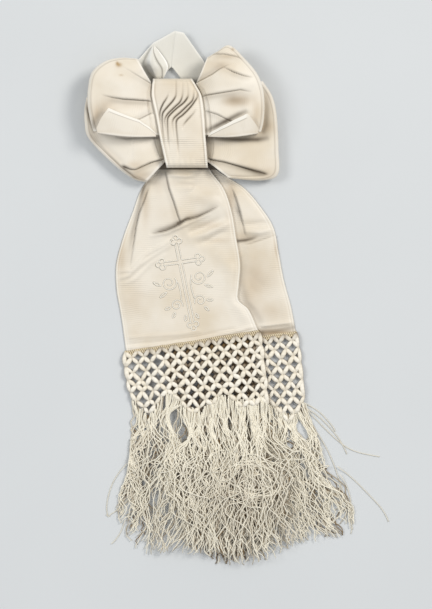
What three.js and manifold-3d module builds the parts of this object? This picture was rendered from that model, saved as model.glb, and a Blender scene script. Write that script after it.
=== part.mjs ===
// A communion armband of cream ribbon: a double bow held by a wide pleated knot, two tails that end in
// knotted nets and long fringes, and a narrow ribbon band that goes round the arm.
// It lies on its back on a flat surface. Millimetres, +Z up, +Y towards the top of the bow.
// The origin is the middle of the arm band's underside, where the band passes behind the knot.
import * as THREE from "three";
import { mergeVertices } from "three/addons/utils/BufferGeometryUtils.js";
import Module from "manifold-3d";

const wasm = await Module();
wasm.setup();

// Driving dimensions.
const CLOTH = 1.2; // thickness of every ribbon wall
const SEAM = 0.3; // gap between pieces that touch
const BAND_FLAT = 1.4; // arm band where it is one layer
const BAND_LAPPED = 2.6; // arm band where its ends lap behind the knot
const KNOT_WALL = 1.3;
const KNOT_BOTTOM = 3.0; // underside of the knot, above the tops of both tails
const KNOT_TOP = 18.2;
const KNOT_LOW_Y = -32.2;
const KNOT_HIGH_Y = 34.4;
const KNOT_ROUND = 5.5; // radius of the knot's turned ends
const KNOT_PLEAT = 1.6; // height of a pleat on the knot
const TAIL_STEP = CLOTH + SEAM; // the front tail lies this far above the floor over the back tail
const NET_THICK = 2.0;
const GAP_SHARE = 0.62; // share of a mesh of the net that is open, across and down
const STRIP_THICK = 3.4; // row of knots that carries a fringe
const STRIP_DEPTH = 3.0;
const STRAND_RADIUS = 0.78;
const LAYER_STEP = 1.8; // from one layer of strands to the next
const FRINGE_STEP = 4.0; // the front fringe lies this far above the back one
const FLOOR_GAP = 0.35; // the strands end this far above the floor

const IVORY = new THREE.Color("#e9dfca");
const PALE = new THREE.Color("#dfdfd8");
const THREAD = new THREE.Color("#dccfae");

// ---------------------------------------------------------------- curves and folds

const mix = (a, b, t) => a + (b - a) * t;

function smooth(low, high, value) {
  const t = Math.min(1, Math.max(0, (value - low) / (high - low)));
  return t * t * (3 - 2 * t);
}

// One column of a table, read at a place in another column, on a smooth curve through the rows.
function read(table, place, column, at) {
  const last = table.length - 1;
  const rising = table[last][place] > table[0][place];
  let i = 0;
  while (i < last - 1 && (rising ? at > table[i + 1][place] : at < table[i + 1][place])) i += 1;
  const [a, b] = [table[i], table[i + 1]];
  const span = b[place] - a[place];
  const t = Math.min(1, Math.max(0, (at - a[place]) / span));
  const slope = (left, right) =>
    ((right[column] - left[column]) / (right[place] - left[place])) * span;
  const m0 = slope(table[Math.max(0, i - 1)], b);
  const m1 = slope(a, table[Math.min(last, i + 2)]);
  const t2 = t * t;
  const t3 = t2 * t;
  return (
    (2 * t3 - 3 * t2 + 1) * a[column] +
    (t3 - 2 * t2 + t) * m0 +
    (-2 * t3 + 3 * t2) * b[column] +
    (t3 - t2) * m1
  );
}

// Height that a table of soft ridges adds at a point: each falls away with the distance from its line.
function ridges(folds, x, y) {
  let height = 0;
  for (const f of folds) {
    const [dx, dy] = [f.toX - f.x, f.toY - f.y];
    const t = Math.min(1, Math.max(0, ((x - f.x) * dx + (y - f.y) * dy) / (dx * dx + dy * dy)));
    const away = Math.hypot(x - f.x - dx * t, y - f.y - dy * t);
    height += f.height * Math.exp(-((away / f.width) ** 2));
  }
  return Math.max(0, height - 0.2);
}

// ---------------------------------------------------------------- solids

// A closed solid between two grids of points of the same size, outer[row][column] and inner[row][column].
// With ring, the last row joins the first.
function wall(outer, inner, ring = false) {
  const rows = outer.length;
  const columns = outer[0].length;
  const index = (side, r, c) => (side * rows + (r % rows)) * columns + c;
  const faces = [];
  const quad = (a, b, c, d) => faces.push(a, b, c, a, c, d);
  const rowSteps = ring ? rows : rows - 1;
  for (let r = 0; r < rowSteps; r += 1) {
    for (let c = 0; c < columns - 1; c += 1) {
      quad(index(0, r, c), index(0, r + 1, c), index(0, r + 1, c + 1), index(0, r, c + 1));
      quad(index(1, r, c), index(1, r, c + 1), index(1, r + 1, c + 1), index(1, r + 1, c));
    }
    const end = columns - 1;
    quad(index(0, r, 0), index(1, r, 0), index(1, r + 1, 0), index(0, r + 1, 0));
    quad(index(0, r, end), index(0, r + 1, end), index(1, r + 1, end), index(1, r, end));
  }
  for (let c = 0; c < columns - 1 && !ring; c += 1) {
    const end = rows - 1;
    quad(index(0, 0, c), index(0, 0, c + 1), index(1, 0, c + 1), index(1, 0, c));
    quad(index(0, end, c), index(1, end, c), index(1, end, c + 1), index(0, end, c + 1));
  }
  const points = [...outer, ...inner].flat();
  let volume = 0;
  for (let i = 0; i < faces.length; i += 3) {
    const [a, b, c] = [points[faces[i]], points[faces[i + 1]], points[faces[i + 2]]];
    volume += a.dot(new THREE.Vector3().crossVectors(b, c));
  }
  if (volume < 0) faces.reverse();
  const geometry = new THREE.BufferGeometry().setFromPoints(points);
  geometry.setIndex(faces);
  return geometry;
}

// The grid moved by a thickness along its own normals, towards the inside of the fold.
function inset(grid, thickness, side) {
  const rows = grid.length;
  const columns = grid[0].length;
  return grid.map((row, r) =>
    row.map((point, c) => {
      const alongRow = new THREE.Vector3().subVectors(
        row[Math.min(columns - 1, c + 1)],
        row[Math.max(0, c - 1)],
      );
      const alongColumn = new THREE.Vector3().subVectors(
        grid[Math.min(rows - 1, r + 1)][c],
        grid[Math.max(0, r - 1)][c],
      );
      const normal = alongRow.cross(alongColumn).normalize();
      return point.clone().addScaledVector(normal, side * thickness);
    }),
  );
}

function manifoldOf(geometry) {
  const bare = geometry.clone();
  bare.deleteAttribute("normal");
  bare.deleteAttribute("uv");
  const merged = mergeVertices(bare, 1e-4);
  return new wasm.Manifold(
    new wasm.Mesh({
      numProp: 3,
      vertProperties: new Float32Array(merged.attributes.position.array),
      triVerts: new Uint32Array(merged.index.array),
    }),
  );
}

function geometryOf(manifold) {
  const mesh = manifold.getMesh();
  const geometry = new THREE.BufferGeometry();
  const positions = new Float32Array(mesh.numVert * 3);
  for (let i = 0; i < mesh.numVert; i += 1) {
    positions.set(mesh.vertProperties.subarray(i * mesh.numProp, i * mesh.numProp + 3), i * 3);
  }
  geometry.setAttribute("position", new THREE.BufferAttribute(positions, 3));
  geometry.setIndex(new THREE.BufferAttribute(mesh.triVerts, 1));
  return geometry;
}

const armband = new THREE.Group();

function piece(name, geometry, color) {
  geometry.computeVertexNormals();
  const finish = new THREE.MeshStandardMaterial({ color, roughness: 0.62, metalness: 0 });
  const mesh = new THREE.Mesh(geometry, finish);
  mesh.name = name;
  armband.add(mesh);
}

// ---------------------------------------------------------------- knot

// The knot's left and right selvedges, from its top to its bottom.
const KNOT_SIDES = [
  { y: 34.4, left: -20.2, right: 9.0 },
  { y: 28.0, left: -20.9, right: 12.9 },
  { y: 21.0, left: -21.0, right: 16.2 },
  { y: 5.2, left: -17.6, right: 18.2 },
  { y: -7.5, left: -15.4, right: 19.0 },
  { y: -18.8, left: -13.0, right: 19.9 },
  { y: -32.2, left: -9.9, right: 20.9 },
];

// Lines that run down the knot, as a share of its width above and below the slanted stretch,
// and how much of a pleat's height each carries.
const KNOT_LINES = [
  { above: 0.0, below: 0.0, height: 0.0 },
  { above: 0.3, below: 0.02, height: 0.15 },
  { above: 0.52, below: 0.06, height: 0.1 },
  { above: 0.58, below: 0.12, height: 1.0 },
  { above: 0.66, below: 0.18, height: 0.1 },
  { above: 0.73, below: 0.25, height: 1.0 },
  { above: 0.8, below: 0.31, height: 0.1 },
  { above: 0.87, below: 0.38, height: 1.0 },
  { above: 0.93, below: 0.45, height: 0.1 },
  { above: 0.96, below: 0.72, height: 0.2 },
  { above: 1.0, below: 1.0, height: 0.0 },
];
const SLANT_TOP = 21; // the pleats slant across the knot between these two heights
const SLANT_BOTTOM = 2;

const knotSide = (y, side) => read(KNOT_SIDES, "y", side, y);

// Points of the knot's section, a rounded rectangle in the YZ plane, wound from the bottom's lower end.
function knotSection(shrink) {
  const [low, high] = [KNOT_LOW_Y + shrink, KNOT_HIGH_Y - shrink];
  const [bottom, top] = [KNOT_BOTTOM + shrink, KNOT_TOP - shrink];
  const radius = KNOT_ROUND - shrink;
  const points = [];
  const corner = (y, z, from) => {
    for (const turn of [0, 0.5, 1]) {
      const angle = ((from + turn) * Math.PI) / 2;
      points.push({ y: y + radius * Math.cos(angle), z: z + radius * Math.sin(angle) });
    }
  };
  corner(high - radius, bottom + radius, 3);
  corner(high - radius, top - radius, 0);
  const steps = 10;
  for (let i = 1; i < steps; i += 1) {
    points.push({ y: mix(high - radius, low + radius, i / steps), z: top });
  }
  corner(low + radius, top - radius, 1);
  corner(low + radius, bottom + radius, 2);
  return points;
}

function knotGrid(shrink, pleated) {
  return knotSection(shrink).map(({ y, z }) =>
    KNOT_LINES.map((line) => {
      const slant = smooth(SLANT_BOTTOM, SLANT_TOP, y);
      const share = mix(line.below, line.above, slant);
      const [left, right] = [knotSide(y, "left"), knotSide(y, "right")];
      const deep = mix(0.45, 1, smooth(34, 24, y)) * smooth(-28, -8, y);
      const onTop = z > KNOT_TOP - 1 ? 1 : 0;
      const crown = 0.9 * Math.sin(Math.PI * share) * onTop;
      const lift = pleated ? crown + KNOT_PLEAT * line.height * deep * onTop : 0;
      return new THREE.Vector3(mix(left, right, share), y, z + lift);
    }),
  );
}

piece("knot", wall(knotGrid(0, true), knotGrid(KNOT_WALL, false), true), IVORY);

// ---------------------------------------------------------------- bow loops

// A loop is one stretch of ribbon that leaves the knot, turns over at its outer fold and comes back.
// out is -1 at the middle of the knot, 0 at its edge and 1 at the outer fold.
const LOWER_PROFILE = [
  { out: -1, z: 4.9 },
  { out: 0, z: 4.9 },
  { out: 0.12, z: 3.9 },
  { out: 0.35, z: 3.2 },
  { out: 0.65, z: 3.2 },
  { out: 0.86, z: 3.7 },
  { out: 0.965, z: 5.2 },
  { out: 1, z: 7.3 },
  { out: 0.965, z: 9.4 },
  { out: 0.86, z: 10.6 },
  { out: 0.65, z: 11 },
  { out: 0.35, z: 10.8 },
  { out: 0.12, z: 9.9 },
  { out: 0, z: 9.2 },
  { out: -1, z: 9.2 },
];
const UPPER_PROFILE = [
  { out: -1, z: 9.6 },
  // The top near the knot keeps below the knot's turned upper end.
  { out: 0, z: 9.9 },
  { out: 0.12, z: 11.6 },
  { out: 0.35, z: 11.9 },
  { out: 0.65, z: 11.9 },
  { out: 0.86, z: 12.6 },
  { out: 0.965, z: 15 },
  { out: 1, z: 18 },
  { out: 0.965, z: 21.2 },
  { out: 0.86, z: 23.2 },
  { out: 0.65, z: 24 },
  { out: 0.35, z: 22.4 },
  { out: 0.12, z: 18.6 },
  { out: 0, z: 16.0 },
  { out: -1, z: 16.0 },
];

// Where each loop meets the knot: across is 0 at its upper selvedge and 1 at its lower one.
const UPPER_WAIST = { high: 30.4, low: -8 };
const LOWER_WAIST = { high: 18, low: -28 };
const WAIST_CLEAR = 0.6; // how far outside the knot's edge the cloth starts to spread

// The outer folds of the four loops.
const UPPER_LEFT_FOLD = [
  { across: 0.0, x: -31.5, y: 48.6 },
  { across: 0.14, x: -44.0, y: 49.4 },
  { across: 0.28, x: -56.0, y: 46.6 },
  { across: 0.43, x: -65.4, y: 38.5 },
  { across: 0.57, x: -68.2, y: 26.5 },
  { across: 0.71, x: -68.4, y: 15.0 },
  { across: 0.86, x: -66.6, y: 4.0 },
  { across: 1.0, x: -64.2, y: -5.0 },
];
const UPPER_RIGHT_FOLD = [
  { across: 0.0, x: 20.5, y: 49.5 },
  { across: 0.12, x: 28.0, y: 54.0 },
  { across: 0.2, x: 36.5, y: 58.8 },
  { across: 0.35, x: 48.0, y: 48.9 },
  { across: 0.5, x: 57.4, y: 37.6 },
  { across: 0.64, x: 61.7, y: 26.0 },
  { across: 0.78, x: 62.8, y: 13.0 },
  { across: 0.9, x: 62.0, y: 2.0 },
  { across: 1.0, x: 60.2, y: -5.4 },
];
const LOWER_LEFT_FOLD = [
  { across: 0.0, x: -69.5, y: 20.5 },
  { across: 0.13, x: -71.0, y: 11.0 },
  { across: 0.26, x: -70.8, y: 1.0 },
  { across: 0.4, x: -69.0, y: -8.0 },
  { across: 0.52, x: -62.5, y: -16.4 },
  { across: 0.66, x: -53.5, y: -25.4 },
  { across: 0.8, x: -44.0, y: -33.8 },
  { across: 0.92, x: -33.5, y: -40.6 },
  { across: 1.0, x: -25.0, y: -42.7 },
];
const LOWER_RIGHT_FOLD = [
  { across: 0.0, x: 61.5, y: 32.5 },
  { across: 0.13, x: 68.5, y: 21.5 },
  { across: 0.26, x: 71.6, y: 9.5 },
  { across: 0.4, x: 72.8, y: -5.0 },
  { across: 0.54, x: 73.3, y: -19.0 },
  { across: 0.7, x: 72.8, y: -37.0 },
  { across: 0.84, x: 61.0, y: -41.2 },
  { across: 1.0, x: 36.0, y: -39.4 },
];

// Pleats of each loop run out from the knot: the cloth swells up to one line and drops behind it.
const UPPER_LEFT_PLEATS = [
  { across: 0.16, height: 1.2, reach: 0.75 },
  { across: 0.46, height: 2.0, reach: 0.85 },
  { across: 0.64, height: 1.2, reach: 0.5 },
];
const UPPER_RIGHT_PLEATS = [
  { across: 0.22, height: 1.8, reach: 0.85 },
  { across: 0.47, height: 2.2, reach: 0.9 },
  { across: 0.72, height: 1.4, reach: 0.6 },
];
const LOWER_LEFT_PLEATS = [{ across: 0.86, height: 2.3, reach: 0.85 }];
const LOWER_RIGHT_PLEATS = [{ across: 0.84, height: 2.3, reach: 0.95 }];
const PLEAT_SWELL = 0.2; // share of the loop's width over which a pleat rises
const PLEAT_DROP = 0.035; // and over which it drops

// Height that the pleats add to a loop's top at a place across and out along it.
function pleatHeight(pleats, across, out) {
  let height = 0;
  for (const p of pleats) {
    const from = across - p.across;
    const shape = from <= 0 ? Math.max(0, 1 + from / PLEAT_SWELL) : 1 - from / PLEAT_DROP;
    height = Math.max(height, p.height * Math.max(0, shape) * (1 - smooth(p.reach * 0.5, p.reach, out)));
  }
  return height * smooth(-0.05, 0.1, out);
}

function loopPlan(side, waist, fold, across, out) {
  const y = mix(waist.high, waist.low, across);
  const [left, right] = [knotSide(y, "left"), knotSide(y, "right")];
  const edge = side < 0 ? left - WAIST_CLEAR : right + WAIST_CLEAR;
  const middle = (left + right) / 2 + side * SEAM;
  const end = { x: read(fold, "across", "x", across), y: read(fold, "across", "y", across) };
  if (out <= 0) return { x: mix(edge, middle, -out), y };
  return { x: mix(edge, end.x, out), y: mix(y, end.y, out) };
}

// Stations across a loop: evenly spread, with one at each pleat's crest and one at its foot.
function stations(pleats) {
  const even = [0, 0.12, 0.34, 0.62, 0.9, 1];
  const atPleats = pleats.flatMap((p) => [p.across - 0.1, p.across, p.across + PLEAT_DROP]);
  const sorted = [...even, ...atPleats].filter((s) => s >= 0 && s <= 1).sort((a, b) => a - b);
  return sorted.filter((s, i) => i === 0 || s - sorted[i - 1] > 0.03);
}

// A narrow selvedge keeps the loop's open ends lower than its middle.
const openEnds = (across, flat) => mix(flat, 1, smooth(0, 0.25, Math.min(across, 1 - across)));

function bowLoop(name, side, waist, fold, profile, pleats) {
  const across = stations(pleats);
  const half = (profile.length - 1) / 2;
  const middle = profile[half].z;
  const grid = (pleated) =>
    profile.map((row, i) =>
      across.map((w) => {
        const { x, y } = loopPlan(side, waist, fold, w, row.out);
        const onTop = i > half;
        const puff = onTop && row.out > 0 ? openEnds(w, mix(1, 0.72, row.out)) : 1;
        const pleat = pleated && onTop ? pleatHeight(pleats, w, row.out) : 0;
        return new THREE.Vector3(x, y, middle + (row.z - middle) * puff + pleat);
      }),
    );
  piece(name, wall(grid(true), inset(grid(false), CLOTH, side)), IVORY);
}

bowLoop("lower_loop_left", -1, LOWER_WAIST, LOWER_LEFT_FOLD, LOWER_PROFILE, LOWER_LEFT_PLEATS);
bowLoop("lower_loop_right", 1, LOWER_WAIST, LOWER_RIGHT_FOLD, LOWER_PROFILE, LOWER_RIGHT_PLEATS);
bowLoop("upper_loop_left", -1, UPPER_WAIST, UPPER_LEFT_FOLD, UPPER_PROFILE, UPPER_LEFT_PLEATS);
bowLoop("upper_loop_right", 1, UPPER_WAIST, UPPER_RIGHT_FOLD, UPPER_PROFILE, UPPER_RIGHT_PLEATS);

// ---------------------------------------------------------------- turned-up selvedges of the upper loops

// Each tuck is a three-cornered cuff: the loop's lower selvedge turned up over its front.
// It runs from the knot to the outer fold, and its free edge rises from the selvedge to a peak.
const LEFT_TUCK = [
  { out: 0.04, free: 0.95, lift: 0.1 },
  { out: 0.12, free: 0.86, lift: 0.5 },
  { out: 0.26, free: 0.77, lift: 0.9 },
  { out: 0.48, free: 0.735, lift: 1.5 },
  { out: 0.7, free: 0.7, lift: 2.0 },
  { out: 0.84, free: 0.84, lift: 1.2 },
  { out: 0.95, free: 0.965, lift: 0.3 },
];
const RIGHT_TUCK = [
  { out: 0.04, free: 0.98, lift: 0.1 },
  { out: 0.1, free: 0.945, lift: 0.5 },
  { out: 0.27, free: 0.885, lift: 1.4 },
  { out: 0.476, free: 0.835, lift: 2.2 },
  { out: 0.716, free: 0.8, lift: 2.8 },
  { out: 0.86, free: 0.9, lift: 1.8 },
  { out: 0.96, free: 0.975, lift: 0.4 },
];
const TUCK_HANG = 0.6; // the folded edge stands at least this far past the selvedge
const TUCK_SAG = 1.7; // and its middle hangs this much further

function tuck(name, side, fold, pleats, table) {
  const half = (UPPER_PROFILE.length - 1) / 2;
  const top = UPPER_PROFILE.slice(half).reverse();
  const middle = UPPER_PROFILE[half].z;
  const rise = SEAM + 0.75;
  const grid = (height) =>
    table.map((row) =>
      [0, 0.35, 0.7, 1].map((share) => {
        const across = mix(1, row.free, share);
        const { x, y } = loopPlan(side, UPPER_WAIST, fold, across, row.out);
        const puff = openEnds(across, mix(1, 0.72, row.out));
        const face = middle + (read(top, "out", "z", row.out) - middle) * puff;
        const over = face + Math.max(pleatHeight(pleats, across, row.out), 0) + rise;
        const hang = (1 - share) * (TUCK_HANG + TUCK_SAG * Math.sin(Math.PI * row.out));
        return new THREE.Vector3(x, y - hang, over + row.lift * share + height);
      }),
    );
  piece(name, wall(grid(CLOTH), grid(0)), IVORY);
}

tuck("tuck_left", -1, UPPER_LEFT_FOLD, UPPER_LEFT_PLEATS, LEFT_TUCK);
tuck("tuck_right", 1, UPPER_RIGHT_FOLD, UPPER_RIGHT_PLEATS, RIGHT_TUCK);

// ---------------------------------------------------------------- arm band

// The ring of narrow ribbon, clockwise from the middle of its lapped ends behind the knot.
// rise is how far that stretch stands off the floor.
const BAND = [
  { outX: 0, outY: -11.2, inX: 0, inY: 11.2, rise: 0 },
  { outX: -14, outY: -11.2, inX: -11, inY: 11.2, rise: 0 },
  { outX: -28, outY: -8, inX: -19, inY: 13, rise: 0 },
  { outX: -40, outY: 2, inX: -24, inY: 17, rise: 0 },
  { outX: -47, outY: 15, inX: -26.5, inY: 21, rise: 0 },
  { outX: -46, outY: 28, inX: -25, inY: 25, rise: 0 },
  { outX: -40, outY: 38.5, inX: -20, inY: 29, rise: 0.4 },
  { outX: -32.2, outY: 48, inX: -14, inY: 35, rise: 1.2 },
  { outX: -20.2, outY: 61.5, inX: -9, inY: 41, rise: 3 },
  { outX: -3.8, outY: 70.5, inX: -6.6, inY: 43.4, rise: 4.6 },
  { outX: 3, outY: 69, inX: -5.2, inY: 42.4, rise: 4.6 },
  { outX: 17.2, outY: 48.8, inX: 1, inY: 34.4, rise: 2 },
  { outX: 27, outY: 35, inX: 8, inY: 26, rise: 0.3 },
  { outX: 35, outY: 22, inX: 13.5, inY: 19, rise: 0 },
  { outX: 36, outY: 8, inX: 14, inY: 15, rise: 0 },
  { outX: 30, outY: -4, inX: 12, inY: 12.5, rise: 0 },
  { outX: 16, outY: -11.2, inX: 7, inY: 11.2, rise: 0 },
];
const LAP_HALF = 8; // the band is lapped this far to each side of the middle
const BAND_COLUMNS = 3;

function bandGrid(top) {
  return BAND.map((row) =>
    Array.from({ length: BAND_COLUMNS }, (_, i) => {
      const share = i / (BAND_COLUMNS - 1);
      const x = mix(row.outX, row.inX, share);
      const y = mix(row.outY, row.inY, share);
      const lapped = y < 12 ? 1 - smooth(LAP_HALF, LAP_HALF + 6, Math.abs(x)) : 0;
      const thick = mix(BAND_FLAT, BAND_LAPPED, lapped);
      return new THREE.Vector3(x, y, row.rise * (1 - 0.5 * share) + (top ? thick : 0));
    }),
  );
}

piece("arm_band", wall(bandGrid(true), bandGrid(false), true), PALE);

// The band's turned end: a short curled tongue on the left of its arch, from its tip to the knot.
const TONGUE = [
  { leftX: -21.2, leftY: 58.6, rightX: -18.6, rightY: 58.8, base: 4.9, arch: 0.6 },
  { leftX: -23.6, leftY: 52.5, rightX: -14.8, rightY: 54.0, base: 4.4, arch: 2.6 },
  { leftX: -25.8, leftY: 44.6, rightX: -10.2, rightY: 47.0, base: 3.9, arch: 4.6 },
  { leftX: -22.4, leftY: 39.0, rightX: -9.2, rightY: 42.0, base: 3.7, arch: 4.2 },
  { leftX: -19.0, leftY: 35.4, rightX: -12.4, rightY: 35.6, base: 3.5, arch: 2.2 },
];

function tongueGrid(top) {
  return TONGUE.map((row) =>
    [0, 0.25, 0.5, 0.75, 1].map((share) => {
      const z = row.base + row.arch * Math.sin(Math.PI * share ** 1.3);
      return new THREE.Vector3(
        mix(row.leftX, row.rightX, share),
        mix(row.leftY, row.rightY, share),
        z + (top ? CLOTH : 0),
      );
    }),
  );
}

piece("band_tongue", wall(tongueGrid(true), tongueGrid(false)), PALE);

// ---------------------------------------------------------------- tails

// Selvedges of the two tails, from behind the knot to the hem.
const FRONT_TAIL = [
  { down: 0.0, leftX: -7.5, leftY: -18.8, rightX: 18.0, rightY: -18.8 },
  { down: 0.09, leftX: -16.0, leftY: -32.2, rightX: 22.0, rightY: -32.2 },
  { down: 0.19, leftX: -28.2, leftY: -46.5, rightX: 33.0, rightY: -48.2 },
  { down: 0.31, leftX: -35.6, leftY: -65.5, rightX: 38.8, rightY: -65.2 },
  { down: 0.45, leftX: -43.0, leftY: -85.5, rightX: 42.2, rightY: -84.8 },
  { down: 0.58, leftX: -47.9, leftY: -105.0, rightX: 45.2, rightY: -104.2 },
  { down: 0.71, leftX: -47.6, leftY: -123.8, rightX: 44.2, rightY: -120.0 },
  { down: 0.8, leftX: -45.2, leftY: -137.5, rightX: 43.8, rightY: -131.0 },
  { down: 0.88, leftX: -43.2, leftY: -150.0, rightX: 51.4, rightY: -138.4 },
  { down: 1.0, leftX: -40.5, leftY: -170.2, rightX: 58.8, rightY: -154.5 },
];
const BACK_TAIL = [
  { down: 0.0, leftX: -6.0, leftY: -19.4, rightX: 19.5, rightY: -19.4 },
  { down: 0.1, leftX: -9.0, leftY: -33.8, rightX: 28.0, rightY: -33.8 },
  { down: 0.2, leftX: -10.5, leftY: -48.8, rightX: 47.5, rightY: -46.8 },
  { down: 0.31, leftX: -11.5, leftY: -65.5, rightX: 61.0, rightY: -62.2 },
  { down: 0.43, leftX: -12.0, leftY: -84.2, rightX: 70.2, rightY: -77.2 },
  { down: 0.57, leftX: -12.0, leftY: -105.0, rightX: 74.0, rightY: -95.8 },
  { down: 0.71, leftX: -11.5, leftY: -126.8, rightX: 78.0, rightY: -116.8 },
  { down: 0.85, leftX: -11.0, leftY: -147.5, rightX: 83.2, rightY: -136.0 },
  { down: 1.0, leftX: -10.5, leftY: -168.0, rightX: 87.0, rightY: -155.6 },
];

// Folds of the tails: soft ridges between two points, with the width over which they fall away.
const FRONT_FOLDS = [
  { x: -6, y: -48, toX: 3, toY: -69, height: 2.6, width: 4.5 }, // pleat down from the knot
  { x: -15, y: -84, toX: 23, toY: -68, height: 3.6, width: 5.5 }, // lip of the deep cross fold
  { x: -23, y: -54, toX: -32, toY: -94, height: 2.4, width: 4.5 }, // turned left edge
  { x: 12, y: -50, toX: 30, toY: -61, height: 2.0, width: 6.0 },
  { x: 12, y: -86, toX: 36, toY: -76, height: 1.8, width: 4.5 },
  { x: -44, y: -113, toX: -10, toY: -90, height: 1.7, width: 5.0 },
  { x: 34, y: -112, toX: 40, toY: -130, height: 1.6, width: 6.0 },
  { x: -30, y: -160, toX: 36, toY: -146, height: 1.2, width: 5.0 },
];
const BACK_FOLDS = [
  { x: 46, y: -54, toX: 50, toY: -76, height: 2.2, width: 4.5 }, // pleat down from the bow
  { x: 48, y: -92, toX: 68, toY: -87, height: 3.0, width: 4.5 }, // lip of the cross fold
  { x: 58, y: -64, toX: 64, toY: -78, height: 1.4, width: 5.0 },
  { x: 62, y: -146, toX: 82, toY: -142, height: 1.6, width: 4.0 }, // turned hem
];
const FOLDS_START = -46; // below here the tails are clear of the loops and may rise

const tailSide = (table, down, side) => ({
  x: read(table, "down", side + "X", down),
  y: read(table, "down", side + "Y", down),
});

// Share of the full step up that the front pieces take where they lie over the back ones.
const overBack = (x) => smooth(-27, -13, x);

// X of the front tail's right selvedge at a height on the page.
const FRONT_RIGHT = FRONT_TAIL.map(({ rightX, rightY }) => ({ x: rightX, y: rightY }));

function frontHeight(x, y) {
  const free = smooth(FOLDS_START, FOLDS_START - 12, y);
  return TAIL_STEP * overBack(x) + free * ridges(FRONT_FOLDS, x, y);
}

function backHeight(x, y) {
  const beside = x - read(FRONT_RIGHT, "y", "x", Math.max(-154, Math.min(-20, y)));
  const free = smooth(FOLDS_START, FOLDS_START - 12, y) * smooth(3, 9, beside);
  return free * ridges(BACK_FOLDS, x, y);
}

function tail(name, table, rows, columns, height) {
  const grid = (thick) =>
    Array.from({ length: rows + 1 }, (_, r) =>
      Array.from({ length: columns + 1 }, (_, c) => {
        const left = tailSide(table, r / rows, "left");
        const right = tailSide(table, r / rows, "right");
        const x = mix(left.x, right.x, c / columns);
        const y = mix(left.y, right.y, c / columns);
        return new THREE.Vector3(x, y, height(x, y) + thick);
      }),
    );
  piece(name, wall(grid(CLOTH), grid(0)), IVORY);
}

tail("back_tail", BACK_TAIL, 15, 11, backHeight);
tail("front_tail", FRONT_TAIL, 18, 14, frontHeight);

// ---------------------------------------------------------------- knotted nets

const FRONT_NET = {
  topLeft: { x: -41.2, y: -170.6 },
  topRight: { x: 59.4, y: -154.9 },
  bottomRight: { x: 65.5, y: -204 },
  bottomLeft: { x: -36, y: -217.5 },
};
const BACK_NET = {
  topLeft: { x: -10.5, y: -168.4 },
  topRight: { x: 87.2, y: -155.6 },
  bottomRight: { x: 94, y: -209 },
  bottomLeft: { x: -3, y: -216 },
};
const NET_COLUMNS = 11;
const NET_ROWS = 9;

// A point of a net: across runs from its left edge to its right one, down from its head to its foot.
function netPoint(net, across, down) {
  const along = (a, b, t) => ({ x: mix(a.x, b.x, t), y: mix(a.y, b.y, t) });
  const head = along(net.topLeft, net.topRight, across);
  const foot = along(net.bottomLeft, net.bottomRight, across);
  return along(head, foot, down);
}

// A net of lozenge meshes, each a ring round its opening; the half meshes along its edges are
// plain cloth. Corners and middles of the meshes share one lattice: a place (i, j) of it is a
// corner where i + j is even, a middle where it is odd.
function knottedNet(name, net, height) {
  const [wide, deep] = [2 * NET_COLUMNS, NET_ROWS];
  const solid = [];
  const at = (i, j, top) => {
    const { x, y } = netPoint(net, i / wide, j / deep);
    return [x, y, height(x, y) + (top ? NET_THICK : 0)];
  };
  const plate = (corners) => {
    for (let k = 1; k < corners.length - 1; k += 1) {
      const [a, b, c] = [corners[0], corners[k], corners[k + 1]];
      solid.push(at(...a, true), at(...b, true), at(...c, true));
      solid.push(at(...c, false), at(...b, false), at(...a, false));
    }
  };
  const side = (a, b) => {
    solid.push(at(...a, false), at(...b, false), at(...b, true));
    solid.push(at(...a, false), at(...b, true), at(...a, true));
  };
  for (let j = 0; j <= deep; j += 1) {
    for (let i = 0; i <= wide; i += 1) {
      if ((i + j) % 2 === 0) continue;
      const inside = ([a, b]) => a >= 0 && a <= wide && b >= 0 && b <= deep;
      const corners = [[i - 1, j], [i, j + 1], [i + 1, j], [i, j - 1]];
      if (corners.every(inside)) {
        const gap = corners.map(([a, b]) => [mix(i, a, GAP_SHARE), mix(j, b, GAP_SHARE)]);
        for (let k = 0; k < 4; k += 1) {
          const next = (k + 1) % 4;
          plate([corners[k], corners[next], gap[next], gap[k]]);
          side(gap[next], gap[k]);
        }
        continue;
      }
      const kept = corners.map((corner) => (inside(corner) ? corner : [i, j]));
      const outline = kept.filter((corner, k) => String(corner) !== String(kept[(k + 1) % 4]));
      plate(outline);
      outline.forEach((corner, k) => {
        const next = outline[(k + 1) % outline.length];
        const onEdge = (axis, limit) => corner[axis] === limit && next[axis] === limit;
        if (onEdge(0, 0) || onEdge(0, wide) || onEdge(1, 0) || onEdge(1, deep)) side(corner, next);
      });
    }
  }
  const geometry = new THREE.BufferGeometry();
  geometry.setAttribute("position", new THREE.Float32BufferAttribute(solid.flat(), 3));
  piece(name, mergeVertices(geometry), THREAD);
}

// The front net climbs a little from its heading to its foot, over the back net.
const netStep = (x, y) => overBack(x) * mix(NET_THICK + SEAM, FRINGE_STEP, smooth(-160, -205, y));

knottedNet("net_back", BACK_NET, () => 0);
knottedNet("net_front", FRONT_NET, netStep);

// ---------------------------------------------------------------- fringes

// Where the strands of each fringe end, from left to right.
const FRONT_TIPS = [
  { share: 0.0, x: -54, y: -296 },
  { share: 0.15, x: -39, y: -322 },
  { share: 0.35, x: -12, y: -329 },
  { share: 0.6, x: 26, y: -336 },
  { share: 0.8, x: 60, y: -330 },
  { share: 1.0, x: 93, y: -312 },
];
const BACK_TIPS = [
  { share: 0.0, x: 10, y: -322 },
  { share: 0.3, x: 44, y: -333 },
  { share: 0.6, x: 80, y: -320 },
  { share: 0.85, x: 112, y: -310 },
  { share: 1.0, x: 129, y: -296 },
];
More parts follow.
